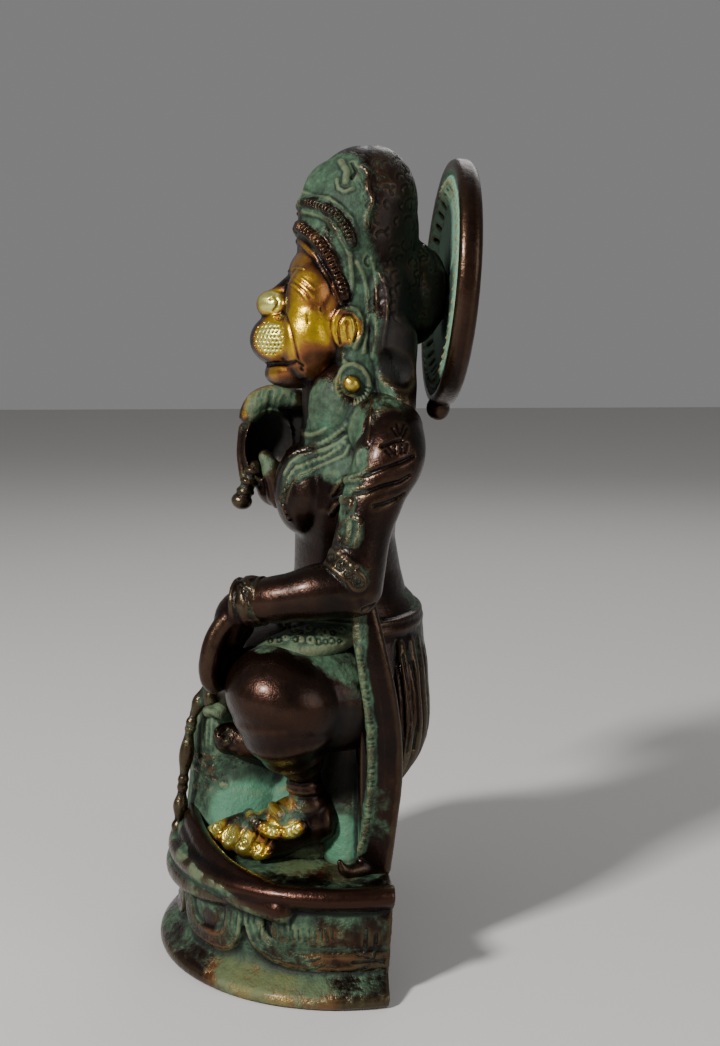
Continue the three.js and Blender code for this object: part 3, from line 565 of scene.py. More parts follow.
def buildLegs():
    sizes = legSizes
    thick = [
        [(12, 21.6, 66, 12.6), (20, 16, 67.6, 12.6), (24, 8, 69, 11.4)],
        [(25, 5.4, 66, 13.2), (24.7, 6, 61.6, 11.6), (23.7, 7, 57.4, 8.8), (22.2, 8.2, 53.4, 5.6), (20.7, 8.8, 49.4, 3.6),
         (20.4, 9.2, 46, 3.8), (20.2, 9.8, 43, 5)],
        [(20.2, 12, 39, 5.6), (19, 8, 38.4, 6.2), (17, 2, 35, 6.0), (15.6, -3, 33, 5.0)],
        [(12, -4, 72, 6.5), (2, -6, 66, 6.5), (-10, -4, 60, 7)],
        [(-15, 25, 60, 14.4), (-27, 18, 54, 13), (-31.5, 9, 50.5, 10.6)],
        [(-31, 10, 49, 10), (-26, -1, 49.5, 8.2), (-14, -6, 50.4, 6.4), (-5, -7.6, 52, 5.2), (1, -8.6, 53.2, 4.2)],
        [(1.4, -8.2, 53.4, 4), (2.6, -2, 52, 4.5), (2.6, 5, 51, 5.2)],
    ]
    toes = []
    for i in range(sizes["toes"]):
        share = i / (sizes["toes"] - 1)
        x, y, z = [a + (b - a) * share for a, b in zip(sizes["bigToe"], sizes["smallToe"])]
        y -= 1.2 * math.sin(share * math.pi)
        size = 2.5 - 0.7 * share
        toes.append([(x + 2.2 - 2.4 * share, y + 7.5 - 3 * share, z + 3.4, size), (x + 0.9 - 0.6 * share, y + 3, z + 1.4, size),
                     (x, y, z, size * 0.9)])
    for i in range(4):
        toes.append([(0, -10.4 + i * 1.6, 54.8 - i * 1.1, 1.5), (3.4, -11 + i * 1.7, 55 - i * 1.3, 1.6),
                     (4.8, -10.8 + i * 1.7, 54.4 - i * 1.3, 1.3)])
    parts = [
        tubes(thick, 14), tubes(toes, 6),
        ball((24, 5, 69), (15, 14.8, 11.6), (-18, 0, 0), 48),
        ball((3, 5, 73), (19, 13.5, 9.5), (-14, 0, 0), 32),
    ]
    piece = cast("legs", parts, sizes["grain"], 10)
    rings = []
    for shift in (0, 1.5, 3.0, 4.3):  # rings round the left ankle
        size = 3.4 + 0.12 * shift
        rings.append([(20.7 - 0.1 * shift + size * math.cos(a), 8.8 + 0.1 * shift + size * math.sin(a), 50.8 - shift, 0.62)
                      for a in np.linspace(0, 2 * math.pi, 25)])
    ornaments = [joined([tubes(rings, 3)], figureLevel)]
    carving = Surface(piece)
    fringe = ((247, 805), (249, 814), (257, 824), (268, 831), (280, 834), (292, 832), (302, 826))
    ornaments.append(carving.ridge(fringe, 1.5, False))
    ornaments.append(carving.ridge(((266, 799), (272, 806), (281, 815)), 1.2, False))
    piece = adorn(piece, ornaments, sizes["skin"], 2)
    carving = Surface(piece)
    marks = carving.drawn(fringe, 1)
    nails = [carving.drawn((spot, (spot[0] + 0.1, spot[1]))) for spot in
             ((217, 828), (229, 836), (243, 843), (256, 847), (268, 850))]
    carving.refine(marks + [spot for nail in nails for spot in nail] + carving.drawn(((217, 722), (228, 736)), 2), 2.4)
    carving.across(carving.even(carving.drawn(fringe, 1), 1.15), 1.9, 0, 0.4, 0.5)
    for x, y, radius in ((217, 828, 5.2), (229, 836, 5), (243, 843, 4.4), (256, 847, 3.8), (268, 850, 3.4)):
        for part in (1, 0.5):
            circle = [(x + radius * part * math.cos(a), y + radius * part * math.sin(a)) for a in np.linspace(0, 6.3, 17)]
            carving.press(carving.drawn(circle, 1), 0.32, 0.3)
    for line in (((223, 841), (230, 828), (238, 818)), ((236, 847), (243, 833), (250, 824)), ((250, 851), (254, 840), (258, 832)),
                 ((262, 854), (266, 845), (270, 839))):
        carving.press(carving.drawn(line), 0.6, 0.7)
    for line in (((214, 725), (219, 721)), ((216, 730), (223, 725)), ((219, 735), (227, 730)), ((224, 738), (229, 735))):
        carving.press(carving.drawn(line), 0.4, 0.4)
    carving.finish()
    return piece


# waist cloth: scalloped belt, a fan of pleats behind, and the long scarf at the left

clothSizes = {
    "grain": 0.42, "pleats": 11, "scallops": 15,
    "scarf": [(28.5, 21.6, 94), (30, 23.8, 80), (30, 26.2, 66), (29.6, 27, 52), (28.6, 25.8, 40), (28, 24.4, 29.5)],
    "scarfHalfWidth": 3.5, "scarfWidening": (0.4, 0.85, 1, 1, 1, 1),
    "scarfEdge": ((359, 650), (362, 675), (366, 700), (370, 728), (371, 760), (370, 795), (366, 828), (360, 850)),
    "beltHeight": 83.4, "beltTilt": 1.2,
}


def beltPoint(angle, out=0, up=0):
    height = clothSizes["beltHeight"] - clothSizes["beltTilt"] * math.cos(angle) + up
    return ((19.8 + out) * math.cos(angle), 22.2 + (16.8 + out) * math.sin(angle), height)


def buildCloth():
    sizes = clothSizes
    runs = []
    for i in range(sizes["pleats"]):
        across = i / (sizes["pleats"] - 1) * 2 - 1
        deep = math.sqrt(1 - 0.6 * across * across)
        runs.append([
            (18 * across, 20.6 + 17.6 * deep, 79, 1.4),
            (20.6 * across, 20.6 + 18 * deep, 70, 2.2),
            (22 * across, 21 + 17 * deep, 55, 2.4),
            (22 * across, 19.6 + 13 * deep, 46.4, 1.8),
        ])
    turns = [i / 40 * 2 * math.pi for i in range(41)]
    sunk = [1.6 * max(0, math.sin(a)) for a in turns]  # behind, the belt lies in the cloth
    runs.append([(*beltPoint(a, -deep), 2.3) for a, deep in zip(turns, sunk)])
    runs += [[(*beltPoint(a, 1.2 - deep * 1.1, shift), 0.9) for a, deep in zip(turns, sunk)] for shift in (-2, 2)]
    parts = [tubes(runs, 4)]
    for i in range(sizes["scallops"]):  # the belt is scalloped in front only
        angle = math.pi * (1 + i / (sizes["scallops"] - 1))
        parts.append(ball(beltPoint(angle, 1, 0), (2.4, 2.2, 2), segments=16))
    parts.append(stacked([(0, 20.5 + back, z, w, d) for z, w, d, back in (
        (50, 19, 12, 1.5), (56, 21.6, 14.4, 1.5), (64, 24, 17, 1.6), (72, 24, 17.6, 1.8), (79, 21.6, 17.2, 2),
        (84, 19.6, 16.8, 2), (88, 18, 15, 1.6), (92, 16.6, 12, 0.8))]))
    parts += [ball((20, 9, 79.6), (8.6, 13, 4.4), (12, 0, 0), 40), ball((-22, 12, 68), (8, 12, 4.4), (20, 0, 0), 32)]
    piece = cast("waistCloth", parts, sizes["grain"], 4)
    carving = Surface(piece)
    random.seed(5)
    for i in range(22):  # small curls of the cloth over the thigh
        x, y = 262 + (i % 11) * 8 + random.uniform(-2, 2), 630 + i // 11 * 9 + random.uniform(-2, 2)
        size = random.uniform(2.6, 4.2)
        curl = [(x + size * math.cos(a) * (1 - a / 14), y + size * math.sin(a) * (1 - a / 14)) for a in np.linspace(0, 7, 14)]
        carving.press(carving.drawn(curl, 1), 0.45, random.choice((-0.4, 0.45)))
    for line in (((404, 655), (410, 690), (412, 722), (408, 752)), ((412, 662), (418, 692), (419, 720), (414, 748)),
                 ((398, 665), (403, 700), (404, 735), (400, 760)), ((392, 690), (396, 720), (395, 750))):
        carving.press(carving.bothSides(carving.drawn(line)), 0.7, 0.6)
    carving.finish()
    return piece


def buildScarf():
    sizes = clothSizes
    runs = []
    for side in (-0.85, -0.45, 0, 0.45, 0.85):
        runs.append([(x - 0.3, y + side * (sizes["scarfHalfWidth"] - 0.5) * wide, z, 1.8 - 0.15 * abs(side))
                     for (x, y, z), wide in zip(sizes["scarf"], sizes["scarfWidening"])])
    runs.append([(27, 26.2, 31, 1.5), (28.6, 21.6, 30.2, 2.0), (31, 17.6, 31, 1.4), (31.4, 16.6, 33, 0.8)])
    wall = stacked([(14, 20, 28, 11, 7.4), (14, 19.6, 34, 9.6, 7), (14, 19.6, 44, 8.6, 6.6), (14, 19.6, 62, 8, 6.4)])
    parts = [tubes(runs), block((12, 21.4, 29), (29.2, 26, 62)), wall]
    piece = cast("scarf", parts, sizes["grain"], 4)
    carving = Surface(piece)
    piece = adorn(piece, [carving.ridge(sizes["scarfEdge"], 0.85, False)], 0.38, 1)
    carving = Surface(piece)
    random.seed(19)
    for i in range(46):  # the edge is worn and nicked along its length
        y = 656 + i * 4.2
        x = np.interp(y, [row for _, row in sizes["scarfEdge"]], [column for column, _ in sizes["scarfEdge"]])
        nick = carving.drawn(((x - 3, y), (x + 3, y + random.uniform(-2, 2))), 1)
        carving.press(nick, random.uniform(0.4, 0.8), random.uniform(0.1, 0.45))
    carving.finish()
    return piece


# trunk and arms

trunkSizes = {
    "grain": 0.45, "skin": 0.38,
    # height, half width, half depth, how far behind the middle
    "ovals": [
        (80, 20, 15, 1), (87, 18.4, 14.6, 0.8), (95, 17.2, 13.2, 0.2), (103, 18.6, 12.4, -0.4), (111, 21.4, 13.4, -0.8),
        (120, 22.2, 14.4, 1.2), (128, 18.6, 13.6, 2.2), (134, 14, 12.6, 1.6), (142, 13, 12, 0.8), (150, 12, 11.4, 0),
    ],
    "cuffLine": ((331, 557), (341, 565), (350, 573), (358, 582)),
}

necklace = {
    "upperBeads": ((290, 457), (298, 451), (305, 448), (315, 445), (325, 442), (334, 436), (342, 430), (347, 424)),
    "ribbon": ((285, 474), (292, 463), (301, 456), (312, 453), (325, 450), (338, 444), (347, 437)),
    "lowerBeads": ((281, 500), (283, 496), (285, 490), (287, 483), (289, 478), (294, 471), (298, 467), (303, 466),
                   (308, 463), (313, 462), (318, 459), (325, 458), (332, 454), (336, 451), (342, 447), (347, 440)),
    "lowerEdge": ((287, 502), (289, 493), (293, 483), (299, 476), (310, 471), (330, 462), (345, 455), (350, 446)),
    "fall": ((281, 500), (284, 508), (287, 515), (290, 521)),
}


def buildTrunk():
    sizes = trunkSizes
    parts = [
        stacked([(0, 20.5 + back, z, w, d) for z, w, d, back in sizes["ovals"]]),
        ball((0, 30.5, 126), (20, 7.8, 12.2), segments=40),
        ball((8, 10.6, 115), (9.6, 7.9, 11), (-10, 0, 10), 40),
        ball((-8, 10.6, 115), (9.6, 7.9, 11), (-10, 0, -10), 40),
        ball((10, 19, 135), (8.6, 8.6, 12), segments=32),
        ball((-10, 19, 135), (8.6, 8.6, 12), segments=32),
        tubes([
            [(-20, 28, 130, 8.6), (0, 27, 132, 10), (20, 28, 130, 8.6)],
            [(19, 29, 130.6, 8.2), (24.6, 28.6, 124.6, 8.4), (27, 24.8, 115.6, 7.1), (28.2, 22.2, 107, 6.4), (28.8, 20.4, 98, 6.7),
             (29, 19.8, 94.4, 6.8)],
            [(29, 19.6, 94.6, 6.8), (28.6, 12.6, 93.8, 6.6), (26.6, 4, 92, 5.6), (22.8, -4, 90.8, 4.8)],
            [(-19, 29.4, 131, 8), (-25, 28, 122, 8), (-29, 23, 112, 7.8), (-30.4, 18, 106, 7.6)],
            [(-30.6, 17, 105.6, 7.2), (-28, 9, 110.4, 5.8), (-23, 2, 115.4, 5)],
        ], 14),
        ball((-32, 14, 112), (3.2, 3.2, 3.4), segments=20),
    ]
    piece = cast("trunkAndArms", parts, sizes["grain"], 10)
    carving = Surface(piece)
    ornaments = [
        carving.beadLine(necklace["upperBeads"], 1.2, 0.62),
        carving.beadLine(necklace["lowerBeads"], 1.4, 0.78),
        carving.beadLine(necklace["fall"], 1.5, 0.8),
        [carving.ridge(necklace["ribbon"], 0.7), carving.ridge(necklace["lowerEdge"], 0.5),
         carving.ridge(((299, 422), (299, 428), (304, 434), (312, 435), (320, 432), (326, 429)), 0.6)],
        [carving.ridge(((374, 379), (372, 401), (370, 429), (368, 443)), 0.5)],
        [carving.ridge(((361, 449), (358, 456), (358, 464)), 0.6)],
        [carving.ridge(((333, 493), (337, 486), (343, 481), (351, 479), (361, 477)), 0.9),
         carving.ridge(((331, 512), (336, 505), (344, 500), (352, 501), (351, 507)), 0.9)],
        [carving.ridge(((339, 539), (338, 531), (344, 522), (353, 517), (360, 520), (359, 531), (355, 546)), 0.5)],
        [carving.ridge(((350, 524), (349, 532), (347, 542)), 0.8)],
        [carving.ridge(((327, 565), (335, 572), (345, 580)), 0.4),
         carving.ridge(((336, 547), (342, 551), (350, 558), (357, 566)), 0.4)],
        carving.beadLine(((339, 553), (345, 558), (352, 566), (358, 575)), 1.5, 0.5),
    ]
    flat = []
    for group in ornaments:
        flat += group
    piece = adorn(piece, flat, sizes["skin"], 2)
    carving = Surface(piece)
    carving.press(carving.bothSides(carving.drawn(sizes["cuffLine"], 1)), 2.8, -0.6, 0.5)
    carving.finish()
    carve = [
        (((382, 446), (395, 441), (402, 440)), 0.7, 0.7),
        (((350, 478), (367, 474), (388, 467), (405, 461), (414, 456)), 0.8, 0.8),
        (((353, 493), (367, 491), (383, 486), (400, 482), (410, 476)), 0.8, 0.8),
        (((374, 506), (385, 503), (398, 498), (404, 494)), 0.7, 0.6),
        (((288, 459), (296, 453), (306, 450), (318, 448), (330, 444)), 0.5, 0.4),
        (((363, 610), (374, 605)), 0.7, 0.7),
    ]
    for line, width, depth in carve:
        carving.press(carving.bothSides(carving.drawn(line)), width, depth)
    for line in (((397, 424), (399, 434)), ((404, 424), (401, 434)), ((392, 428), (397, 436)), ((407, 428), (403, 437)),
                 ((389, 446), (393, 453)), ((395, 445), (396, 454)), ((401, 444), (401, 453)), ((407, 444), (405, 452)),
                 ((386, 451), (391, 456))):
        carving.press(carving.drawn(line), 0.45, 0.45)
    for x, y in sizes["cuffLine"]:  # scrolls on the band above the elbow
        scroll = [(x + 5.5 * math.cos(a) * (1 - a / 12), y + 5.5 * math.sin(a) * (1 - a / 12)) for a in np.linspace(0, 9.5, 22)]
        carving.press(carving.bothSides(carving.drawn(scroll, 1)), 0.45, 0.5)
    carving.finish()
    return piece


# hands, bracelets, and the mace in the raised right hand

handSizes = {"grain": 0.36}


def bracelet(place, radius, along, count):
    axis = Vector(along).normalized()
    side = Vector((0, 0, 1)).cross(axis).normalized()
    up = axis.cross(side)

    def around(angle, shift, out=0):
        return tuple(Vector(place) + axis * shift + (side * math.cos(angle) + up * math.sin(angle)) * (radius + out))

    rims = [[(*around(i / 16 * 2 * math.pi, shift), 0.8) for i in range(17)] for shift in (-2.9, 2.9)]
    scrolls = []
    for i in range(count):
        middle = i / count * 2 * math.pi
        scrolls.append([(*around(middle + 0.26 * math.cos(a) * (1 - a / 11), 1.8 * math.sin(a) * (1 - a / 11), 0.5), 0.5)
                        for a in np.linspace(0, 9.4, 14)])
    middle = [(*around(i / 16 * 2 * math.pi, 0, -1.2), 2.3) for i in range(17)]
    return [tubes(rims, 4), tubes(scrolls, 3), tubes([middle], 4)]


def buildHands():
    left = [
        [(22.6, -3, 89.8, 5), (21.6, -6.4, 88.4, 4.6), (20, -8.8, 83, 4)],
        [(17.2, -5, 84, 2.6), (13.8, -7.4, 79, 2.4), (13, -8.4, 73, 2.0)],
    ]
    for i in range(4):
        dx, dy, dz = -2.9 * i, 1.0 * i, -0.3 * i
        left.append([(23 + dx, -5.7 + dy, 89.4 + dz, 3), (23.4 + dx, -10.8 + dy, 84 + dz, 2.5), (23.4 + dx, -13 + dy, 77.6 + dz, 2.4),
                     (22.6 + dx, -13 + dy, 73 + dz, 2.2), (21.8 + dx, -12 + dy, 71.2 + dz, 2)])
    parts = [
        tubes(left, 8), *bracelet((22.8, -3.2, 90.8), 5, (0.42, 0.9, 0.1), 8),
        ball((-20.5, 0.8, 124.2), (7.2, 7.1, 12), (-3, 0, 0), 40),
        # a mass filling the gap behind the raised hand as the back of the hood; the finish makes it dark with painted
        # shade
        ball((-24.6, 9.6, 127.4), (4.4, 9.4, 9), (-8, 0, 0), 40),
        ball((-20, 3.4, 113.4), (5.4, 5.2, 5.6), segments=28),
        tubes([[(-17.8, -3.4, 132, 3), (-18, -1.2, 135.4, 3.2), (-18.4, 3.4, 136.8, 3.3), (-18.4, 9, 136.2, 3), (-18.4, 13.6, 135, 2.4)]]),
        *bracelet((-25.2, 6.6, 113), 5, (0.5, -0.68, 0.54), 8),
    ]
    piece = cast("hands", parts, handSizes["grain"], 2)
    hollowOut(piece, [ball((-13.8, 2.2, 124), (9.6, 7, 9.6), (-3, 0, 0), 40)])
    hollowOut(piece, [ball((-12.6, 8.6, 131.2), (7.4, 6.4, 3.4), (14, 0, 0), 32)])
    thumb = tubes([[(-16, 4.6, 111, 3.6), (-15.4, 3, 116.4, 3.1), (-16.4, 0.6, 121.4, 1.9)],
                   [(-19, -5, 128.6, 1.4), (-18.6, -5.6, 122, 1.3), (-18, -4.8, 116, 1.4)]], 6)
    piece = adorn(piece, [joined([thumb], figureLevel)], handSizes["grain"], 2)
    carving = Surface(piece)
    for i in range(7):  # scrolls round the left bracelet
        x, y = 241 + i * 3.6, 584 + i * 6.4
        scroll = [(x + 3.4 * math.cos(a) * (1 - a / 11), y + 3.4 * math.sin(a) * (1 - a / 11)) for a in np.linspace(0, 8, 16)]
        carving.press(carving.drawn(scroll, 1), 0.42, 0.5)
    random.seed(23)
    for i in range(20):  # the rough folds over the raised hand
        x = 243 + i * 2.7 + random.uniform(-2, 2)
        start = 392 + random.uniform(-6, 8)
        fold = carving.drawn(((x, start), (x - random.uniform(1, 6), start + random.uniform(5, 16))), 1)
        carving.press(fold, random.uniform(0.7, 1.4), random.uniform(0.1, 0.3))
    carving.finish()
    return piece


maceSizes = {"grain": 0.34, "top": (-17.6, -2.2, 118.4), "foot": (-18, -5.5, 109.6)}


def buildMace():
    top, foot = maceSizes["top"], maceSizes["foot"]
    parts = [tubes([[(*top, 1.9), (*foot, 1.9)]])]
    for share in (0.1, 0.42, 0.72):
        at = [a + (b - a) * share for a, b in zip(top, foot)]
        parts.append(ball(at, (2.7 - 0.3 * share, 2.7 - 0.3 * share, 1.2), (-14, 0, 0), 24))
    parts.append(ball(foot, (2.8, 2.8, 2.3), (-14, 0, 0), 24))
    return cast("mace", parts, maceSizes["grain"], 2)


# head: monkey face, ears with jewels, hair dome with two diadem bands

headSizes = {
    "grain": 0.4, "skin": 0.34,
    "domeMiddle": (0, 23.4, 177), "domeRadii": (16.8, 15.2, 23.1),
}

diadem = {
    "upperBars": ((303, 202), (312, 203), (325, 208), (336, 214), (345, 225), (350, 235), (352, 243)),
    "upperRidge": ((304, 193), (314, 197), (329, 199), (341, 208), (351, 219), (355, 230), (356, 240)),
    "middleRidge": ((300, 211), (307, 212), (320, 215), (329, 220), (338, 232), (345, 244), (350, 255), (352, 277), (351, 293)),
    "lowerBars": ((296, 224), (300, 226), (311, 234), (320, 243), (329, 257), (336, 271), (341, 284), (345, 296)),
    "lowerRidge": ((296, 236), (307, 248), (316, 257), (325, 273), (331, 284), (338, 293), (343, 301)),
}

ear = {
    "outer": ((343, 349), (337, 340), (334, 330), (335, 319), (340, 311), (349, 308), (357, 311), (361, 319), (361, 330),
              (358, 340), (355, 347)),
    "inner": ((342, 333), (341, 325), (345, 318), (351, 319), (353, 327), (353, 337), (350, 346)),
    "ring": ((338, 380), (340, 372), (346, 366), (354, 365), (362, 369), (367, 377), (369, 386), (366, 396), (359, 403),
             (350, 405), (342, 400), (338, 391), (338, 380)),
    "boss": ((351, 383), (353, 385)),
    "hook": ((344, 353), (342, 359), (346, 364)),
}


def buildHead():
    sizes = headSizes
    parts = [
        ball((0, 21.5, 158), (16, 15.4, 18.6), segments=48),
        ball((0, 16.5, 155.8), (16.2, 13, 17), segments=48),
        ball((0, 12.6, 168), (12.4, 6.6, 7), (-14, 0, 0), 40),
        ball((0, 1.9, 160.4), (5, 3.9, 3.6), segments=32),
        ball((0, 5.6, 151.6), (10.6, 9.2, 7.2), segments=48),
        ball((0, 9.2, 144), (10.8, 9.2, 4.6), (6, 0, 0), 40),
        ball(sizes["domeMiddle"], sizes["domeRadii"], (-4, 0, 0), 64),
        ball((0, 27.4, 185.6), (14.6, 11, 14.5), segments=48),
        ball((0, 19, 181), (13, 10.4, 12.6), (20, 0, 0), 40),
        ball((0, 18.8, 187), (9.6, 9.4, 9.8), segments=40),
        ball((0, 29, 158), (17.6, 9, 21), segments=48),
        ball((0, 36.6, 163.4), (10.2, 8.8, 13.4), segments=40),
        ball((0, 32.6, 163), (13, 8, 16), segments=40),
    ]
    runs = [[(0, 13, 168.6, 4.4), (0, 8, 164.6, 3.7), (0, 3.4, 161.4, 3.2)]]
    for side in (-1, 1):
        parts += [
            ball((side * 9.4, 11.2, 151.8), (7.2, 7.4, 10.2), (0, side * 4, 0), 40),
            ball((side * 3.5, 3, 160.2), (2.3, 2.8, 2.7), segments=20),
            ball((side * 8.4, 11.6, 161.6), (7.6, 6.6, 9.4), (-6, 0, 0), 40),
            ball((side * 9, 11.8, 156.8), (7.4, 7, 7), segments=32),
            ball((side * 15.8, 20.4, 141), (3, 4.6, 5.2), segments=32),
            ball((side * 15.6, 19.5, 154.4), (2.8, 3.7, 5.4), (8, 0, 0), 28),
        ]
        runs += [
            [(side * 12.6, 22, 152, 4.4), (side * 12.4, 22.6, 143, 5), (side * 13.6, 24, 134, 5.6)],
            [(side * 14, 30.6, 152, 6), (side * 15.6, 31.4, 142, 4.8), (side * 19, 31.6, 135.6, 4.0),
             (side * 21, 31, 132.6, 3)],
        ]
    parts.append(tubes(runs, 10))
    piece = cast("head", parts, sizes["grain"], 10)
    carving = Surface(piece)
    ornaments = [
        carving.ridge(diadem["upperBars"], 1.6), carving.ridge(diadem["lowerBars"], 1.7),
        carving.ridge(diadem["upperRidge"], 0.7), carving.ridge(diadem["middleRidge"], 0.7),
        carving.ridge(diadem["lowerRidge"], 0.7),
        carving.ridge(ear["outer"], 0.75, step=2), carving.ridge(ear["inner"], 0.4, step=2),
        carving.ridge(((341, 162), (347, 172), (346, 182)), 1.0), carving.ridge(((337, 180), (339, 189), (345, 192), (353, 189)), 0.6),
        carving.ridge(((361, 167), (366, 170), (369, 176), (368, 183), (368, 190), (372, 196), (373, 203), (369, 210), (366, 217),
                       (367, 226)), 0.8, step=2),
        carving.ridge(((379, 273), (384, 281), (387, 291), (388, 304), (387, 322), (384, 338), (383, 352)), 0.6, step=2),
        carving.ridge(((357, 262), (363, 274), (367, 290), (368, 310), (366, 335), (364, 352)), 0.5, step=2),
        carving.ridge(((372, 258), (376, 280), (377, 305), (376, 335), (373, 358)), 0.45, step=2),
        carving.ridge(ear["ring"], 0.8, step=2), carving.ridge(ear["boss"], 2.0), carving.ridge(ear["hook"], 0.8, step=2),
    ]
    piece = adorn(piece, ornaments, sizes["skin"], 2)
    carving = Surface(piece)
    snoutSpots = []
    for row in range(8):
        for column in range(8):
            x = 252.5 + column * 4 + (row % 2) * 2
            y = 323 + row * 4.4
            if math.hypot(x - 268, y - 339) < 16.5:
                snoutSpots += carving.drawn(((x, y), (x + 0.1, y)))
    bars = carving.bothSides(carving.drawn(diadem["upperBars"]) + carving.drawn(diadem["lowerBars"]))
    carving.refine(bars, 2.4)
    carving.refine(carving.bothSides(snoutSpots), 2)
    carving.across(carving.even(carving.drawn(diadem["upperBars"], 0.6), 1.0), 1.8, 0, 0.36, 0.7)
    carving.across(carving.mirrored(carving.even(carving.drawn(diadem["upperBars"], 0.6), 1.0)), 1.5, 0, 0.34, 0.55)
    carving.across(carving.even(carving.drawn(diadem["lowerBars"], 0.6), 1.35), 2.0, 0, 0.42, 0.7)
    carving.across(carving.mirrored(carving.even(carving.drawn(diadem["lowerBars"], 0.6), 1.35)), 1.7, 0, 0.4, 0.5)
    carving.press(carving.bothSides(snoutSpots), 0.48, 0.62)
    for line, width, depth in (
            (((266, 365), (276, 364), (287, 364), (296, 362), (302, 366)), 0.9, 0.55),
            (((285, 314), (289, 324), (292, 336), (295, 348), (298, 360), (302, 370)), 0.9, 0.34),
            (((287, 283), (294, 286), (301, 292), (307, 299)), 0.4, -0.28),
            (((293, 279), (300, 284), (307, 290), (313, 297)), 0.4, -0.26),
            (((301, 278), (308, 283), (314, 289)), 0.36, -0.28),
            (((288, 271), (296, 268), (304, 269)), 0.5, -0.3),
            (((270, 299), (275, 296), (278, 301), (277, 307), (273, 311)), 0.45, 0.5),
            (((307, 315), (308, 323)), 0.5, 0.2),
            (((320, 308), (321, 311)), 0.4, 0.2),
            (((340, 343), (338, 332), (339, 322), (344, 315), (351, 314), (356, 320), (357, 331), (354, 341)), 0.5, 0.5),
            (((347, 323), (347, 331), (348, 338)), 0.8, 0.5),
            (((388, 364), (396, 369), (404, 373)), 4.4, 3.4),
            (((352, 163), (356, 171), (352, 178)), 0.7, 0.6)):
        carving.press(carving.bothSides(carving.drawn(line)), width, depth)
    # the hair is a field of short curved cuts
    random.seed(7)
    cuts = []
    for row in range(13):
        for column in range(6):
            x = 372 + column * 10 + (row % 2) * 5 + random.uniform(-3, 3)
            y = 150 + row * 14 + random.uniform(-3, 3)
            turned = random.uniform(-0.8, 0.8) + 0.4
            size = random.uniform(3.4, 5.6)
            cut = [(x + size * math.cos(a + turned), y + size * math.sin(a + turned)) for a in np.linspace(2.2, 4.4, 7)]
            spots = carving.drawn(cut, 1.5)
            if random.random() < 0.72 and len(spots) > 4 and (spots[0] - spots[-1]).length < 0.005:
                cuts += spots
    carving.press(carving.bothSides(cuts), 0.55, 0.28)
    for i in range(13):  # short cuts round the earring
        a = 0.2 + i * 0.24
        tick = carving.drawn(((353.5 + 13 * math.cos(a), 384 + 15.5 * math.sin(a)), (353.5 + 17 * math.cos(a), 384 + 21 * math.sin(a))), 1)
        carving.press(carving.bothSides(tick), 0.36, 0.4)
    behind = []
    for row in range(9):
        rise = math.radians(-30 + row * 12)
        for column in range(9):
            angle = math.radians(52 + column * 9.5 + (row % 2) * 4.7)
            x, y, z = [c + r * v for c, r, v in zip(
                sizes["domeMiddle"], sizes["domeRadii"],
                (math.cos(rise) * math.cos(angle), math.cos(rise) * math.sin(angle), math.sin(rise)))]
            arc = [(x + math.cos(a) * math.sin(angle), y - math.cos(a) * math.cos(angle), z + figureLevel + 1.1 * math.sin(a))
                   for a in np.linspace(2.2, 4.8, 5)]
            behind += carving.laid(arc)
    carving.press(behind, 0.5, 0.26)
    carving.finish()
    return piece


# halo disc behind the head, dished in front, with a beaded ridge and a thick rim

haloSizes = {
    "grain": 0.4, "centre": (0, 46.4, 166), "lean": 4.4, "beads": 52, "beadRing": 25.2, "bead": 0.55, "pits": 34, "pitRing": 22.6,
    "profile": [(0.01, -0.2), (18, -0.3), (21.4, -0.5), (23.2, -1.5), (24.6, -2.6), (26, -2.5), (27, -1.8), (28.2, -2.4), (29.4, -2.6),
                (30.4, -2.2), (30.9, -1.2), (31, 0), (30.9, 1.6), (30.2, 2.7), (29, 3.1), (25, 2.1), (0.01, 1.8)],
}


# a profile of radius and height spun into a closed round shape about the upright axis
def spun(profile, steps):
    mesh = bpy.data.meshes.new("turned")
    points = [(r * mm, 0, h * mm) for r, h in profile]
    mesh.from_pydata(points, [(i, i + 1) for i in range(len(points) - 1)], [])
    piece = bpy.data.objects.new("turned", mesh)
    bpy.context.scene.collection.objects.link(piece)
    selectOnly([piece])
    bpy.ops.object.mode_set(mode="EDIT")
    bpy.ops.mesh.select_all(action="SELECT")
    bpy.ops.mesh.spin(steps=steps, angle=2 * math.pi, center=(0, 0, 0), axis=(0, 0, 1))
    bpy.ops.mesh.select_all(action="SELECT")
    bpy.ops.mesh.remove_doubles(threshold=0.02 * mm)
    bpy.ops.mesh.normals_make_consistent(inside=False)
    bpy.ops.object.mode_set(mode="OBJECT")
    return piece


def haloPoint(radius, angle, out):
    lean = math.radians(haloSizes["lean"])
    x, up = radius * math.cos(angle), radius * math.sin(angle)
    cx, cy, cz = haloSizes["centre"]
    return (cx + x, cy + up * math.sin(lean) + out * math.cos(lean), cz + up * math.cos(lean) - out * math.sin(lean))


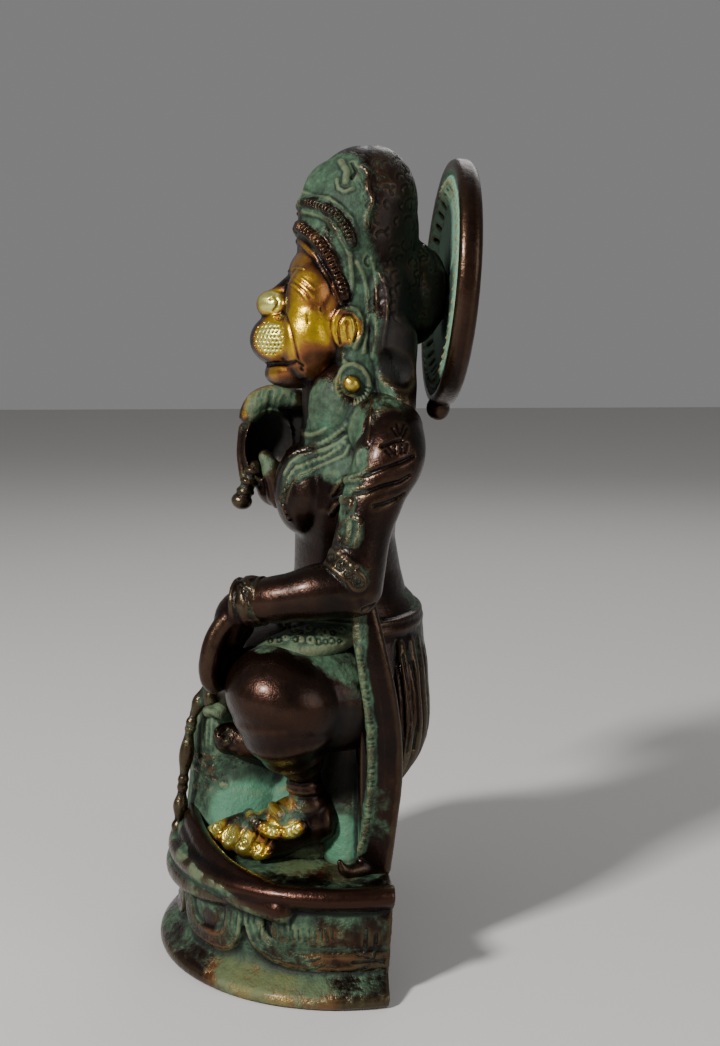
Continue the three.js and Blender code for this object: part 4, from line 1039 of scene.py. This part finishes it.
def buildHalo():
    sizes = haloSizes
    disc = spun(sizes["profile"], 128)
    disc.rotation_euler = (math.radians(-90 - sizes["lean"]), 0, 0)
    disc.location = Vector(sizes["centre"]) * mm
    turns = [i / sizes["beads"] * 2 * math.pi for i in range(sizes["beads"])]
    parts = [
        disc, *beads([haloPoint(sizes["beadRing"], a, -2.6) for a in turns], sizes["bead"]),
        ball((0, 41, 164), (7.4, 5, 10.4), segments=40),
        ball((0, 43.6, 134.4), (3.2, 3.0, 3.2), segments=20),
        tubes([[(0, 44, 137, 2.2), (0, 43.6, 134, 2.4)]]),
    ]
    piece = cast("halo", parts, sizes["grain"], 2)
    carving = Surface(piece)
    for i in range(sizes["pits"]):
        a = i / sizes["pits"] * 2 * math.pi
        spots = [Vector(haloPoint(sizes["pitRing"] + s, a, -1.4)) for s in (-0.8, 0, 0.8)]
        for spot in spots:
            spot.z += figureLevel
        carving.press(carving.laid(spots), 0.7, 1.0)
    carving.finish()
    return piece


# finish: worn patinated bronze with painted-on zones of verdigris and polish, and painted shade in hollows, gaps and
# shaded sides

# a socket that can be reckoned with, so that the finish reads as sums
class Value:
    def __init__(self, tree, socket):
        self.tree = tree
        self.socket = socket

    def node(self, kind, settings=None, inputs=None, output=0):
        made = self.tree.nodes.new(kind)
        for name, setting in (settings or {}).items():
            setattr(made, name, setting)
        for name, value in (inputs or {}).items():
            if isinstance(value, Value):
                self.tree.links.new(value.socket, made.inputs[name])
            else:
                made.inputs[name].default_value = value
        return Value(self.tree, made.outputs[output])

    def math(self, operation, *values, clamp=False):
        return self.node("ShaderNodeMath", {"operation": operation, "use_clamp": clamp}, dict(enumerate(values)))

    def __add__(self, other):
        return self.math("ADD", self, other)

    def __radd__(self, other):
        return self.math("ADD", other, self)

    def __sub__(self, other):
        return self.math("SUBTRACT", self, other)

    def __rsub__(self, other):
        return self.math("SUBTRACT", other, self)

    def __mul__(self, other):
        return self.math("MULTIPLY", self, other)

    def __rmul__(self, other):
        return self.math("MULTIPLY", other, self)

    def __truediv__(self, other):
        return self.math("DIVIDE", self, other)

    def __rtruediv__(self, other):
        return self.math("DIVIDE", other, self)

    # from 0 at low to 1 at high, softly
    def ramp(self, low, high):
        return self.node("ShaderNodeMapRange", {"interpolation_type": "SMOOTHSTEP"},
                         {"Value": self, "From Min": low, "From Max": high})

    # this colour where amount is 0, the other where it is 1
    def toward(self, other, amount):
        colour = other if isinstance(other, Value) else (*other, 1)
        return self.node("ShaderNodeMix", {"data_type": "RGBA"}, {"Factor": amount, 6: self, 7: colour}, 2)


# colours of the finish; the near-black one under paintedShade is the colour of painted shade
bronzeLook = {
    "dark": (0.009, 0.0055, 0.0045), "brown": (0.036, 0.014, 0.0085),
    "copper": (0.24, 0.085, 0.026), "amber": (0.52, 0.33, 0.014), "brass": (0.64, 0.62, 0.19),
    "deepGreen": (0.016, 0.03, 0.018), "green": (0.05, 0.1, 0.056), "paleGreen": (0.13, 0.24, 0.14),
    "teal": (0.075, 0.215, 0.125), "olive": (0.085, 0.105, 0.035), "dust": (0.2, 0.34, 0.24), "worn": (0.14, 0.14, 0.07), "paintedShade": (0.004, 0.004, 0.0035),
    "coat": 0.14, "coatRoughness": 0.18, "specular": 0.25,
}


def bronzeFinish():
    look = bronzeLook
    material = bpy.data.materials.new("patinatedBronze")
    material.use_nodes = True
    tree = material.node_tree
    shader = tree.nodes["Principled BSDF"]
    start = Value(tree, None)

    def painted(name):
        return start.node("ShaderNodeAttribute", {"attribute_name": name}, output=2)

    place = start.node("ShaderNodeTexCoord", output=3)

    def noise(scale, detail=4, roughness=0.6):
        return start.node("ShaderNodeTexNoise", {}, {"Vector": place, "Scale": scale, "Detail": detail, "Roughness": roughness})

    def colour(name):
        made = start.node("ShaderNodeRGB")
        made.socket.default_value = (*look[name], 1)
        return made

    fine, broad, rubbed = painted("fineHollow"), painted("broadHollow"), painted("polish")
    broadNoise, middleNoise, smallNoise, grit = noise(42), noise(150), noise(560), noise(2400, 2)
    hollow = (fine * 12).ramp(0, 1)
    deep = (broad * 1.4).ramp(0.05, 1)
    edge = (fine * -16).ramp(0.1, 1)
    zone = painted("verdigris")
    mottle = (broadNoise - 0.5) * 1.1 + (middleNoise - 0.5) * 0.9 + (smallNoise - 0.5) * 0.6
    green = (zone * 1.25 + mottle + (hollow * 0.35 + deep * 0.3) * (zone + 0.35) - edge * 0.2 - rubbed * 0.45).ramp(0.36, 0.86)
    gold = rubbed + mottle * 0.22 + edge * 0.1 - hollow * 0.25
    # paintedShade is painted shade: a near-black laid where shade falls, from its dabbed layer and the hollows; there
    # it also takes away the coat and most of the metal
    paintedShade = (painted("paintedShade") + (broadNoise - 0.5) * 0.4 + hollow * 0.15).ramp(0.3, 0.9)
    bronze = colour("dark").toward(colour("brown"), (broadNoise * 1.3 + middleNoise * 0.8 + edge * 0.6 - 0.6).ramp(0.1, 0.95))
    bronze = bronze.toward(colour("copper"), gold.ramp(0.12, 0.5)).toward(colour("amber"), gold.ramp(0.42, 0.72))
    bronze = bronze.toward(colour("brass"), gold.ramp(0.82, 1.1))
    patina = colour("deepGreen").toward(colour("green"), (middleNoise * 1.4 + smallNoise + edge * 0.2 - 0.8).ramp(0, 0.75))
    patina = patina.toward(colour("paleGreen"), (smallNoise * 1.3 + middleNoise * 0.6 - 0.65).ramp(0.35, 0.8) * 0.4)
    patina = patina.toward(colour("teal"), (zone + mottle * 0.2).ramp(0.95, 1.4) * 0.85)
    patina = patina.toward(colour("dust"), zone.ramp(1.45, 1.9) * 0.8)
    patina = patina.toward(colour("olive"), (rubbed + mottle * 0.3).ramp(0.05, 0.6) * 0.85)
    body = bronze.toward(patina, green * 0.94)
    body = body.toward(colour("worn"), edge * (zone + 0.1) * (smallNoise * 1.2) * 0.8)
    # hollows and broad recesses are darkened toward the painted shade colour: painted shade
    body = body.toward(colour("paintedShade"), paintedShade.math("MAXIMUM", paintedShade, (hollow * 0.7 + deep * 0.4) * (1 - rubbed * 0.7)) * 0.9)
    bare = (1 - green) * (1 - paintedShade)
    metallic = (1 - green * 0.85) * (1 - paintedShade) * 0.86
    roughness = 0.3 + green * 0.32 + paintedShade * 0.5 + (smallNoise - 0.5) * 0.26
    tree.links.new(body.socket, shader.inputs["Base Color"])
    tree.links.new(metallic.socket, shader.inputs["Metallic"])
    tree.links.new(roughness.socket, shader.inputs["Roughness"])
    tree.links.new((bare * look["coat"]).socket, shader.inputs["Coat Weight"])
    shader.inputs["Specular IOR Level"].default_value = look["specular"]
    shader.inputs["Coat Roughness"].default_value = look["coatRoughness"]
    height = smallNoise * (0.5 + green) + middleNoise * (0.6 + green * 1.4) + grit * 0.2 + green * 0.4
    bump = start.node("ShaderNodeBump", {}, {"Height": height, "Strength": 0.5, "Distance": 0.0005})
    tree.links.new(bump.socket, shader.inputs["Normal"])
    return material


# dabs of one strength along a line
def stroke(line, radius, strength, gap=6):
    dabs = []
    for (x0, y0), (x1, y1) in zip(line, line[1:]):
        count = max(1, round(math.hypot(x1 - x0, y1 - y0) / gap))
        dabs += [(x0 + (x1 - x0) * i / count, y0 + (y1 - y0) * i / count, radius, strength) for i in range(count + 1)]
    return dabs


rollLine = ((189, 822), (196, 842), (208, 858), (236, 877), (275, 893), (323, 900), (384, 901))

# a first even coat for each piece, then dabs of (column, row of the photograph, radius in mm, strength)
finishPaint = {
    "verdigris": {
        "lotusPlinth": (0.42, [
            (250, 922, 7, 0.85), (208, 905, 5, 0.5), (205, 940, 6, 0.35), (300, 920, 6, 0.8), (345, 922, 6, 0.6),
            (330, 952, 9, 0.45), (360, 955, 7, 0.42), (210, 920, 3, 0), (236, 976, 7, 0.75), (268, 990, 7, 0.8),
            (310, 1000, 7, 0.75), (370, 1000, 6, 0.5), *stroke(((180, 958), (205, 988), (250, 1010), (300, 1022)), 3, 0.2),
            (300, 866, 9, 0.8), (350, 875, 8, 0.75), (372, 868, 5, 0.9), (265, 862, 6, 0.8), (186, 850, 4, 1),
            (196, 868, 4, 1), (178, 830, 3, 0.9), (215, 884, 4, 0.8), *stroke(rollLine, 3.6, -0.1),
            *stroke(((248, 894), (275, 904), (323, 908), (384, 908)), 3.2, -0.1)]),
        "seatAndCloth": (0.8, [(205, 768, 6, 0.55), (222, 758, 6, 0.55), (240, 762, 6, 0.55), (208, 728, 5, 0.8),
                               (215, 700, 5, 0.6), (250, 803, 9, 1.4), (225, 808, 7, 1.3), (280, 795, 8, 1.3),
                               ((-13, 24, 34), 16, 0.3)]),
        "beadStrand": (0.5, []),
        "legs": (0.04, [(268, 648, 4, 0.7), (300, 650, 5, 0.75), (330, 656, 7, 0.8), (350, 670, 6, 0.6), (358, 700, 5, 0.4),
                        (235, 835, 8, 0.6), (262, 812, 6, 0.6), (290, 812, 6, 0.75), (300, 775, 4, 0.2), (232, 735, 4, 0.3)]),
        "waistCloth": (0.4, [(300, 635, 12, 0.98), (345, 640, 8, 0.98), (265, 640, 8, 0.95), (335, 665, 8, 0.95),
                             (348, 700, 6, 0.8), (400, 620, 9, 0.08), (405, 700, 12, 0.1)]),
        "scarf": (0.12, [*stroke(((356, 615), (357, 630), (358, 645)), 3, 0.7), *stroke(clothSizes["scarfEdge"], 2.2, 0.8), (380, 800, 4, 0.4), (379, 830, 4, 0.5),
                         (335, 790, 9, 0.4), (342, 838, 8, 1.55), (330, 845, 5, 1.3), ((14, 26, 44), 12, 0.3)]),
        "trunkAndArms": (0.1, [
            (320, 410, 9, 0.98), (335, 432, 8, 1.15), (311, 428, 6, 1), (350, 425, 7, 0.95), (295, 470, 7, 0.95),
            (330, 462, 8, 0.85), (284, 492, 5, 0.7), (358, 465, 6, 0.7), (388, 405, 7, 0.5), (347, 490, 6, 0.65),
            (344, 510, 5, 0.6), (349, 533, 5, 0.7), (338, 560, 5, 0.4), (354, 578, 5, 0.3), (310, 503, 8, 0.06),
            (328, 510, 7, 0.1), (298, 520, 6, 0.1), (336, 545, 4, 0.4), (400, 435, 8, 0.05), (395, 470, 8, 0)]),
        "hands": (0.12, [(262, 405, 7, 1), (280, 400, 6, 1), (250, 480, 4, 0.7), (263, 464, 4.5, 0.8), (243, 425, 3, 0.4),
                         (250, 600, 6, 0.35)]),
        "mace": (0.42, []),
        "head": (0.3, [
            (318, 180, 10, 0.95), (338, 172, 8, 0.9), (348, 205, 8, 0.95), (312, 215, 7, 0.85), (328, 238, 5, 0.5),
            (342, 272, 4, 0.55), (357, 250, 7, 0.9), (364, 290, 8, 0.98), (368, 330, 8, 0.98), (354, 362, 8, 0.98),
            (362, 400, 9, 0.98), (345, 300, 5, 0.9), (388, 190, 9, 0.25), (402, 240, 10, 0.12), (398, 300, 9, 0.12),
            (400, 345, 8, 0.2), (330, 395, 8, 0.98), *stroke(diadem["upperBars"], 2.4, 0.45), *stroke(diadem["lowerBars"], 2.6, 0.36),
            (304, 340, 12, 0), (270, 310, 8, 0), (268, 345, 9, 0),
            (300, 280, 8, 0), (318, 300, 8, 0), (285, 378, 8, 0), (320, 365, 6, 0.05), (347, 328, 4.4, 0.1),
            (352, 384, 4.4, 0.4)]),
        "halo": (0.08, []),
    },
    "polish": {
        "head": (0, [
            (299, 260, 7, 0.5), (294, 272, 5, 0.5), (268, 300, 6, 1.05), (304, 315, 8, 0.8), (314, 333, 8, 0.82), (300, 350, 7, 0.65),
            (303, 285, 7, 0.6), (322, 300, 6, 0.5), (314, 366, 7, 0.3), (283, 382, 8, 0.22), (268, 338, 7, 1.1),
            (272, 372, 3, 0.5), (284, 364, 4, 0.45), *stroke(diadem["lowerBars"], 2, 0.2), (347, 328, 4.8, 0.8), (352, 384, 2.8, 0.8), (352, 402, 3, 0.4), (340, 385, 3, 0.4)]),
        "legs": (0, [(215, 828, 4, 1), (230, 836, 4, 1), (245, 843, 4, 0.95), (258, 848, 4, 0.85), (256, 812, 3.4, 1.05),
                     (270, 828, 3.4, 1), (292, 831, 3.4, 1), (274, 804, 4, 0.9), (288, 800, 4.6, 0.6), (262, 836, 3, 0.5)]),
        "hands": (0, stroke(((244, 414), (247, 402), (254, 393), (262, 388), (270, 387)), 1.5, 0.5)),
        "lotusPlinth": (0, [(222, 966, 6, 0.3), (246, 980, 7, 0.42), (280, 991, 7, 0.42), (315, 1000, 7, 0.3),
                            (300, 866, 9, 0.34), (340, 872, 9, 0.32), (215, 935, 6, 0.16), (335, 950, 9, 0.18)]),
    },
    # painted shade: near-black dabs where shade falls, in the raised hand's hollow and the gap behind it, inside the
    # hanging hand, under the chin, on the hair's back, in the pocket behind the ear, behind the head, on the shaded
    # sides of calf and scarf, and under the right foot
    "paintedShade": {
        "hands": (0, [(256, 436, 6, 1), (266, 426, 6, 1), (274, 440, 6, 1), (285, 432, 9, 1), (292, 412, 8, 1),
                      (228, 665, 6, 0.7), (262, 402, 3, 0)]),
        "head": (0, [(395, 165, 10, 0.55), (385, 190, 7, 0.4), (402, 230, 13, 0.6), (402, 290, 10, 0.65), (412, 300, 7, 0.8), (400, 335, 8, 0.8), (392, 352, 6, 0.8),
                     (397, 370, 5.5, 1), ((0, 44, 160), 12, 0.8)]),
        "halo": (0, []),
        "trunkAndArms": (0, [(333, 548, 4, 0.6), (296, 405, 4, 1), (295, 425, 3, 1), (303, 398, 4, 0.6), (372, 520, 8, 0.3), ((0, -2, 84), 12, 0.3)]),
        "legs": (0, [(345, 730, 9, 0.7), (310, 755, 8, 0.4)]),
        "scarf": (0, [(332, 775, 11, 0.75)]),
        "seatAndCloth": (0, [(245, 768, 6, 0.6), (212, 766, 7, 0.5), (228, 758, 5, 0.4), (270, 770, 6, 0.7), (300, 770, 8, 0.7)]),
    },
}


# the halo is green in front, inside its rim, and brown elsewhere; behind the head its front gets painted shade
def paintHalo(piece):
    places, normals = meshArrays(piece)
    x, y, z = (places / mm).T
    cx, cy, cz = haloSizes["centre"]
    out = np.hypot(x - cx, z - cz - figureLevel)
    front = np.clip((-normals[:, 1] - 0.25) * 3, 0, 1) * np.clip((28.6 - out) / 1.6, 0, 1)
    layer(piece, "verdigris", 0.08 + 1.75 * front)
    # painted shade on the halo's front where the head shades it
    near = np.clip((13 - np.hypot(x, (z - 158) / 1.2)) / 4, 0, 1)
    layer(piece, "paintedShade", near * (normals[:, 1] < 0.3) * 0.9)


# fewer faces where the skin is even; the painted layers go along
def slimmed(piece):
    piece.data.calc_loop_triangles()
    count = len(piece.data.loop_triangles)
    selectOnly([piece])
    fewer = piece.modifiers.new("fewer", "DECIMATE")
    fewer.ratio = min(castingLimits["share"], castingLimits["triangles"] / count)
    bpy.ops.object.modifier_apply(modifier=fewer.name)
    bpy.ops.object.shade_smooth()
    piece.data.calc_loop_triangles()
    print(piece.name, count, "triangles, slimmed to", len(piece.data.loop_triangles))


castingLimits = {"share": 0.55, "triangles": 190000}


def addFinish(piece):
    markHollows(piece)
    for name, byPiece in finishPaint.items():
        brush(piece, name, *byPiece.get(piece.name, (0, [])))
    if piece.name == "halo":
        paintHalo(piece)
    slimmed(piece)
    piece.data.materials.clear()
    piece.data.materials.append(bronze)
    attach(piece, "root")
    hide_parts("figure_on_plinth")


bronze = bronzeFinish()
for build in (buildPlinth, buildSeat, buildStrand, buildLegs, buildCloth, buildScarf, buildTrunk, buildHands,
              buildMace, buildHead, buildHalo):
    addFinish(build())


# floor and light

studio = {
    "worldGrey": 0.5, "worldStrength": 0.42,
    "lights": (
        ("keyLight", (0.55, -0.6, 0.6), 0.12, 14),
        ("fillLight", (0.6, 0.7, 0.35), 0.5, 2),
        ("backLight", (-0.6, 0.3, 0.7), 0.5, 1.4),
    ),
}


def addStudio():
    bpy.ops.mesh.primitive_plane_add(size=6, location=(0, 0, -0.0002))
    floor = bpy.context.object
    floor.name = "studioFloor"
    pale = bpy.data.materials.new("paleFloor")
    pale.use_nodes = True
    pale.node_tree.nodes["Principled BSDF"].inputs["Base Color"].default_value = (0.62, 0.6, 0.58, 1)
    pale.node_tree.nodes["Principled BSDF"].inputs["Roughness"].default_value = 0.9
    floor.data.materials.append(pale)
    world = bpy.data.worlds.new("studio")
    world.use_nodes = True
    grey = studio["worldGrey"]
    world.node_tree.nodes["Background"].inputs["Color"].default_value = (grey, grey, grey, 1)
    world.node_tree.nodes["Background"].inputs["Strength"].default_value = studio["worldStrength"]
    bpy.context.scene.world = world
    for name, place, size, power in studio["lights"]:
        bpy.ops.object.light_add(type="AREA", location=place)
        light = bpy.context.object
        light.name = name
        light.data.size = size
        light.data.energy = power
        light.rotation_mode = "QUATERNION"
        light.rotation_quaternion = (Vector((0, 0.01, 0.09)) - Vector(place)).to_track_quat("-Z", "Y")


addStudio()
